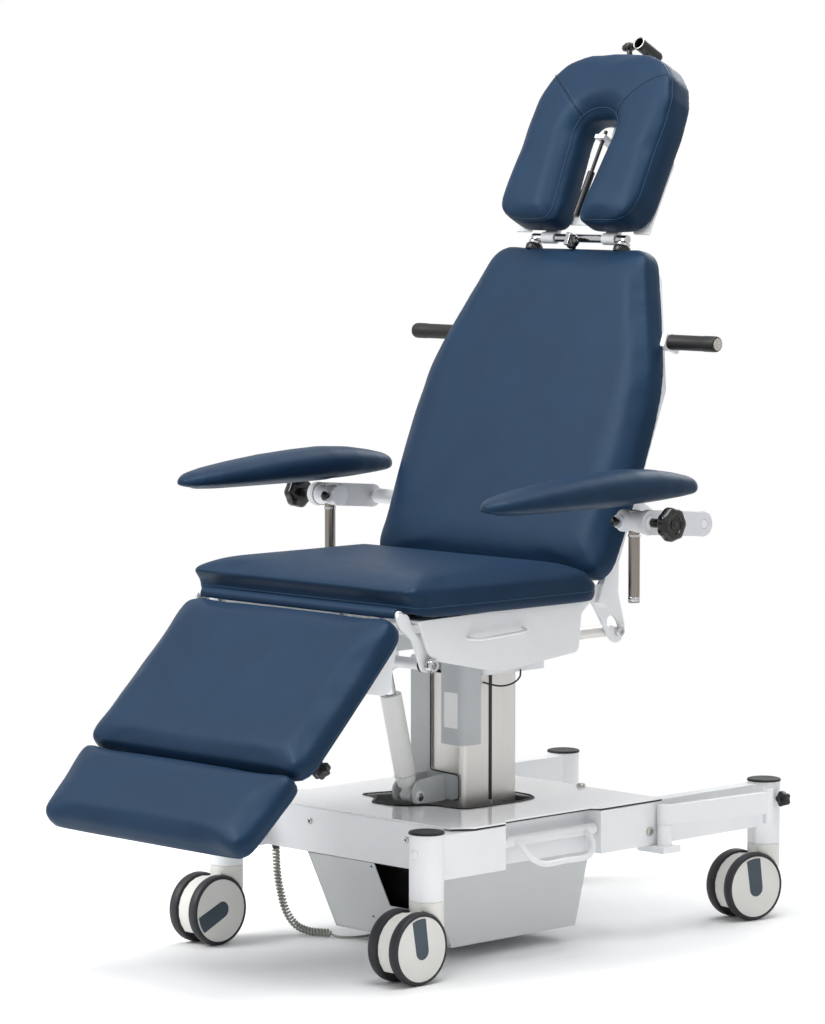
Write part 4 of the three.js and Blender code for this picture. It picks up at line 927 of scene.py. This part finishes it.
def stitched_seams(made, place):
    """Two slanting seams across the top of the head pad, each with a row of stitches on both sides.
    The left one is a single curved ridge, and the right one a nearly straight double one."""
    ridges, threads = [], []
    for s in (1, -1):
        bulge = 15 if s > 0 else 2
        line = [(s * (140 - 98 * t), 0, 299 - 80 * t + bulge * math.sin(math.pi * t))
                for t in np.linspace(0, 1, 60)]
        spots = project(made, place, line, (0, 1, 0))
        if len(spots) < 10:
            continue
        for shift in ((0,) if s > 0 else (-2.4, 2.4)):
            ridge = [p - n * 0.25 * MM + Vector((0, 0, shift * MM)) for p, n in spots]
            ridges.append(tube(ridge, 0.9 * MM, 8))
        for offset in (5, -5):
            for i in range(1, len(spots) - 2, 2):
                (a, n), (b, _) = spots[i], spots[i + 1]
                along = (b - a).normalized()
                across = along.cross(n).normalized() * offset * MM
                threads.append(tube([a + across + n * 0.1 * MM, a.lerp(b, 0.5) + across + n * 0.35 * MM,
                                     b + across + n * 0.1 * MM], 0.35 * MM, 6))
    if ridges:
        piece("head_ridge_seams", *gather(ridges), Matrix.Identity(4), "head", "vinyl_seam", "vinyl", 80)
        piece("head_stitches", *gather(threads), Matrix.Identity(4), "head", "thread", "vinyl", 80)


# Each station along the pad: where it is, its half width, and the heights of its under and upper side.
ARM_STATIONS = ((-220, 9, 804, 816), (-214, 20, 801, 821), (-196, 32, 799, 828), (-156, 42, 798, 835),
                (-90, 48, 798, 843), (-20, 50, 798, 850), (60, 50, 798, 855), (120, 48, 798.5, 857),
                (180, 45, 800, 854), (230, 40, 802, 847), (265, 33, 804, 840), (284, 21, 807, 833),
                (291, 9, 812, 826))
ARM_SECTION = 40


def arm_pad_mesh(x):
    """A leaf-shaped pad: flat below, domed above, thin at both tips."""
    rows = []
    for y, half, low, high in ARM_STATIONS:
        row = []
        for k in range(ARM_SECTION):
            angle = 2 * math.pi * k / ARM_SECTION
            c, s = math.cos(angle), math.sin(angle)
            u = math.copysign(abs(c) ** 0.8, c)
            rim = low + 0.36 * (high - low)
            z = rim + (high - rim) * s ** 0.9 if s >= 0 else rim - (rim - low) * abs(s) ** 0.55
            row.append((x + half * u, y, z))
        rows.append(row)
    mesh = bpy.data.meshes.new("arm_pad")
    mesh.from_pydata([ROW @ Vector(p) for row in rows for p in row], [], skin(len(rows), ARM_SECTION))
    face_outward(mesh)
    return mesh


def seat_shape(local):
    """The front of the seat hangs over the knee roll, a low lip runs back under the backrest, and the sides
    droop past the pan."""
    across, up = local[:, 1], local[:, 2]
    local[:, 1] -= 20 * ramp(up, 645, 672) * ramp(-across, 180, 270)
    local[:, 1] += 10 * ramp(-up, -664, -650) * ramp(across, 80, 140)
    local[:, 2] -= 7 * ramp(np.abs(local[:, 0]), 264, 284) * ramp(-up, -650, -632)
    return local


def head_shape(local):
    """The two lobes roll deeply into the slot between them."""
    across, up = np.abs(local[:, 0]), local[:, 2]
    beside = across - (19 + 23 * np.clip((up - 8) / 211, 0, 1))
    slot_top = 187
    above = np.hypot(across, up - slot_top) - 38.5
    gap = np.where(up < slot_top, beside, above)
    roll = 24 * (1 - np.clip(gap / 52, 0, 1)) ** 2
    local[:, 1] += roll * ramp(-local[:, 1], 12, 70)
    return local


def make_cushions():
    cushion("seat_cushion", ROW, lambda p: p[:, 2] < 632, seam=((0, 0, 640), (0, 0, 1), 1.2, 4),
            box=((-293, -276, 627), (293, 148, 694)), crown=((2, 1), 15, 110), adjust=seat_shape)
    cushion("leg_cushion", LEG, lambda p: p[:, 2] < -17, seam=((0, 0, -14), (0, 0, 1), 1.0, 4),
            box=((-273, -349, -24), (273, -12, 29)), crown=((2, 1), 9, 60))
    cushion("foot_cushion", LEG, lambda p: p[:, 2] < -17, seam=((0, 0, -14), (0, 0, 1), 1.0, 4),
            box=((-266, -516, -24), (266, -350.5, 28)), crown=((2, 1), 9, 50))
    cushion("knee_roll", ROW, lambda p: p[:, 0] > 1e9, shrink=1.5, cap=3, voxel=4, rounds=1)
    cushion("back_cushion", BACK, lambda p: p[:, 1] > 12, seam=((0, 9, 0), (0, 1, 0), 1.0, 4),
            box=((-291, -43, 20), (291, 17, 638)), crown=((1, -1), 12, 80))
    cushion("head_cushion", HEAD, lambda p: p[:, 1] > -7, shrink=3, cap=6, voxel=5,
            seam=((0, -57.5, 0), (0, 1, 0), 1.5, 4), extra=stitched_seams,
            box=((-175, -76, 6), (175, -3, 354)), crown=((1, -1), 7, 34), adjust=head_shape)
    for tag, s in SIDES:
        cushion(f"arm_pad_{tag}", ROW, lambda p: p[:, 2] < 799, shrink=2, cap=4, voxel=4, rounds=1,
                start=arm_pad_mesh(s * 384),
                box=((s * 384 - 50, -221, 797), (s * 384 + 50, 292, 859)))


# ---------------------------------------------------------------- stage
def area_light(name, place, aim, size, power, color=(1, 1, 1)):
    data = bpy.data.lights.new(name, "AREA")
    data.shape = "RECTANGLE"
    data.size, data.size_y = size
    data.energy = power
    data.color = color
    lamp = bpy.data.objects.new(name, data)
    SCENE.collection.objects.link(lamp)
    lamp.location = place
    lamp.rotation_euler = (Vector(aim) - Vector(place)).to_track_quat("-Z", "Y").to_euler()


def make_stage():
    reach = FLOOR_REACH
    mesh = bpy.data.meshes.new("floor")
    mesh.from_pydata([(-reach, -reach, 0), (reach, -reach, 0), (reach, reach, 0), (-reach, reach, 0)], [],
                     [(0, 1, 2, 3)])
    mesh.materials.append(MATERIALS["floor"])
    floor = bpy.data.objects.new("floor", mesh)
    SCENE.collection.objects.link(floor)
    world = bpy.data.worlds.new("studio")
    world.use_nodes = True
    tree = world.node_tree
    sky = tree.nodes["Background"]
    sky.inputs["Color"].default_value = (0.97, 0.985, 1.0, 1)
    sky.inputs["Strength"].default_value = 0.45
    backdrop = tree.nodes.new("ShaderNodeBackground")
    backdrop.inputs["Color"].default_value = (1, 1, 1, 1)
    backdrop.inputs["Strength"].default_value = 1.0
    path = tree.nodes.new("ShaderNodeLightPath")
    both = tree.nodes.new("ShaderNodeMixShader")
    share = tree.nodes.new("ShaderNodeMath")
    share.operation = "MULTIPLY_ADD"
    share.use_clamp = True
    share.inputs[1].default_value = 0.65
    tree.links.new(path.outputs["Is Glossy Ray"], share.inputs[0])
    tree.links.new(path.outputs["Is Camera Ray"], share.inputs[2])
    tree.links.new(share.outputs["Value"], both.inputs[0])
    tree.links.new(sky.outputs[0], both.inputs[1])
    tree.links.new(backdrop.outputs[0], both.inputs[2])
    tree.links.new(both.outputs[0], tree.nodes["World Output"].inputs["Surface"])
    SCENE.world = world
    area_light("key", (-2.2, -4.4, 4.6), (0, 0, 0.6), (3.2, 3.2), 300)
    area_light("top", (0.6, -0.4, 5.2), (0, 0, 0), (3.5, 3.5), 230)
    area_light("side", (5.0, -0.6, 2.2), (0, 0.1, 0.6), (2.0, 2.6), 12)
    area_light("back", (-1.2, 4.4, 3.4), (0, 0, 0.9), (2.4, 2.0), 60)


SCENE.view_settings.view_transform = "Standard"
make_camera()
make_materials()
make_cord()
refine_hard_nodes()
make_wheels()
make_base_details()
make_column_details()
make_seat_details()
make_hand_parts()
make_head_parts()
make_cushions()
make_stage()
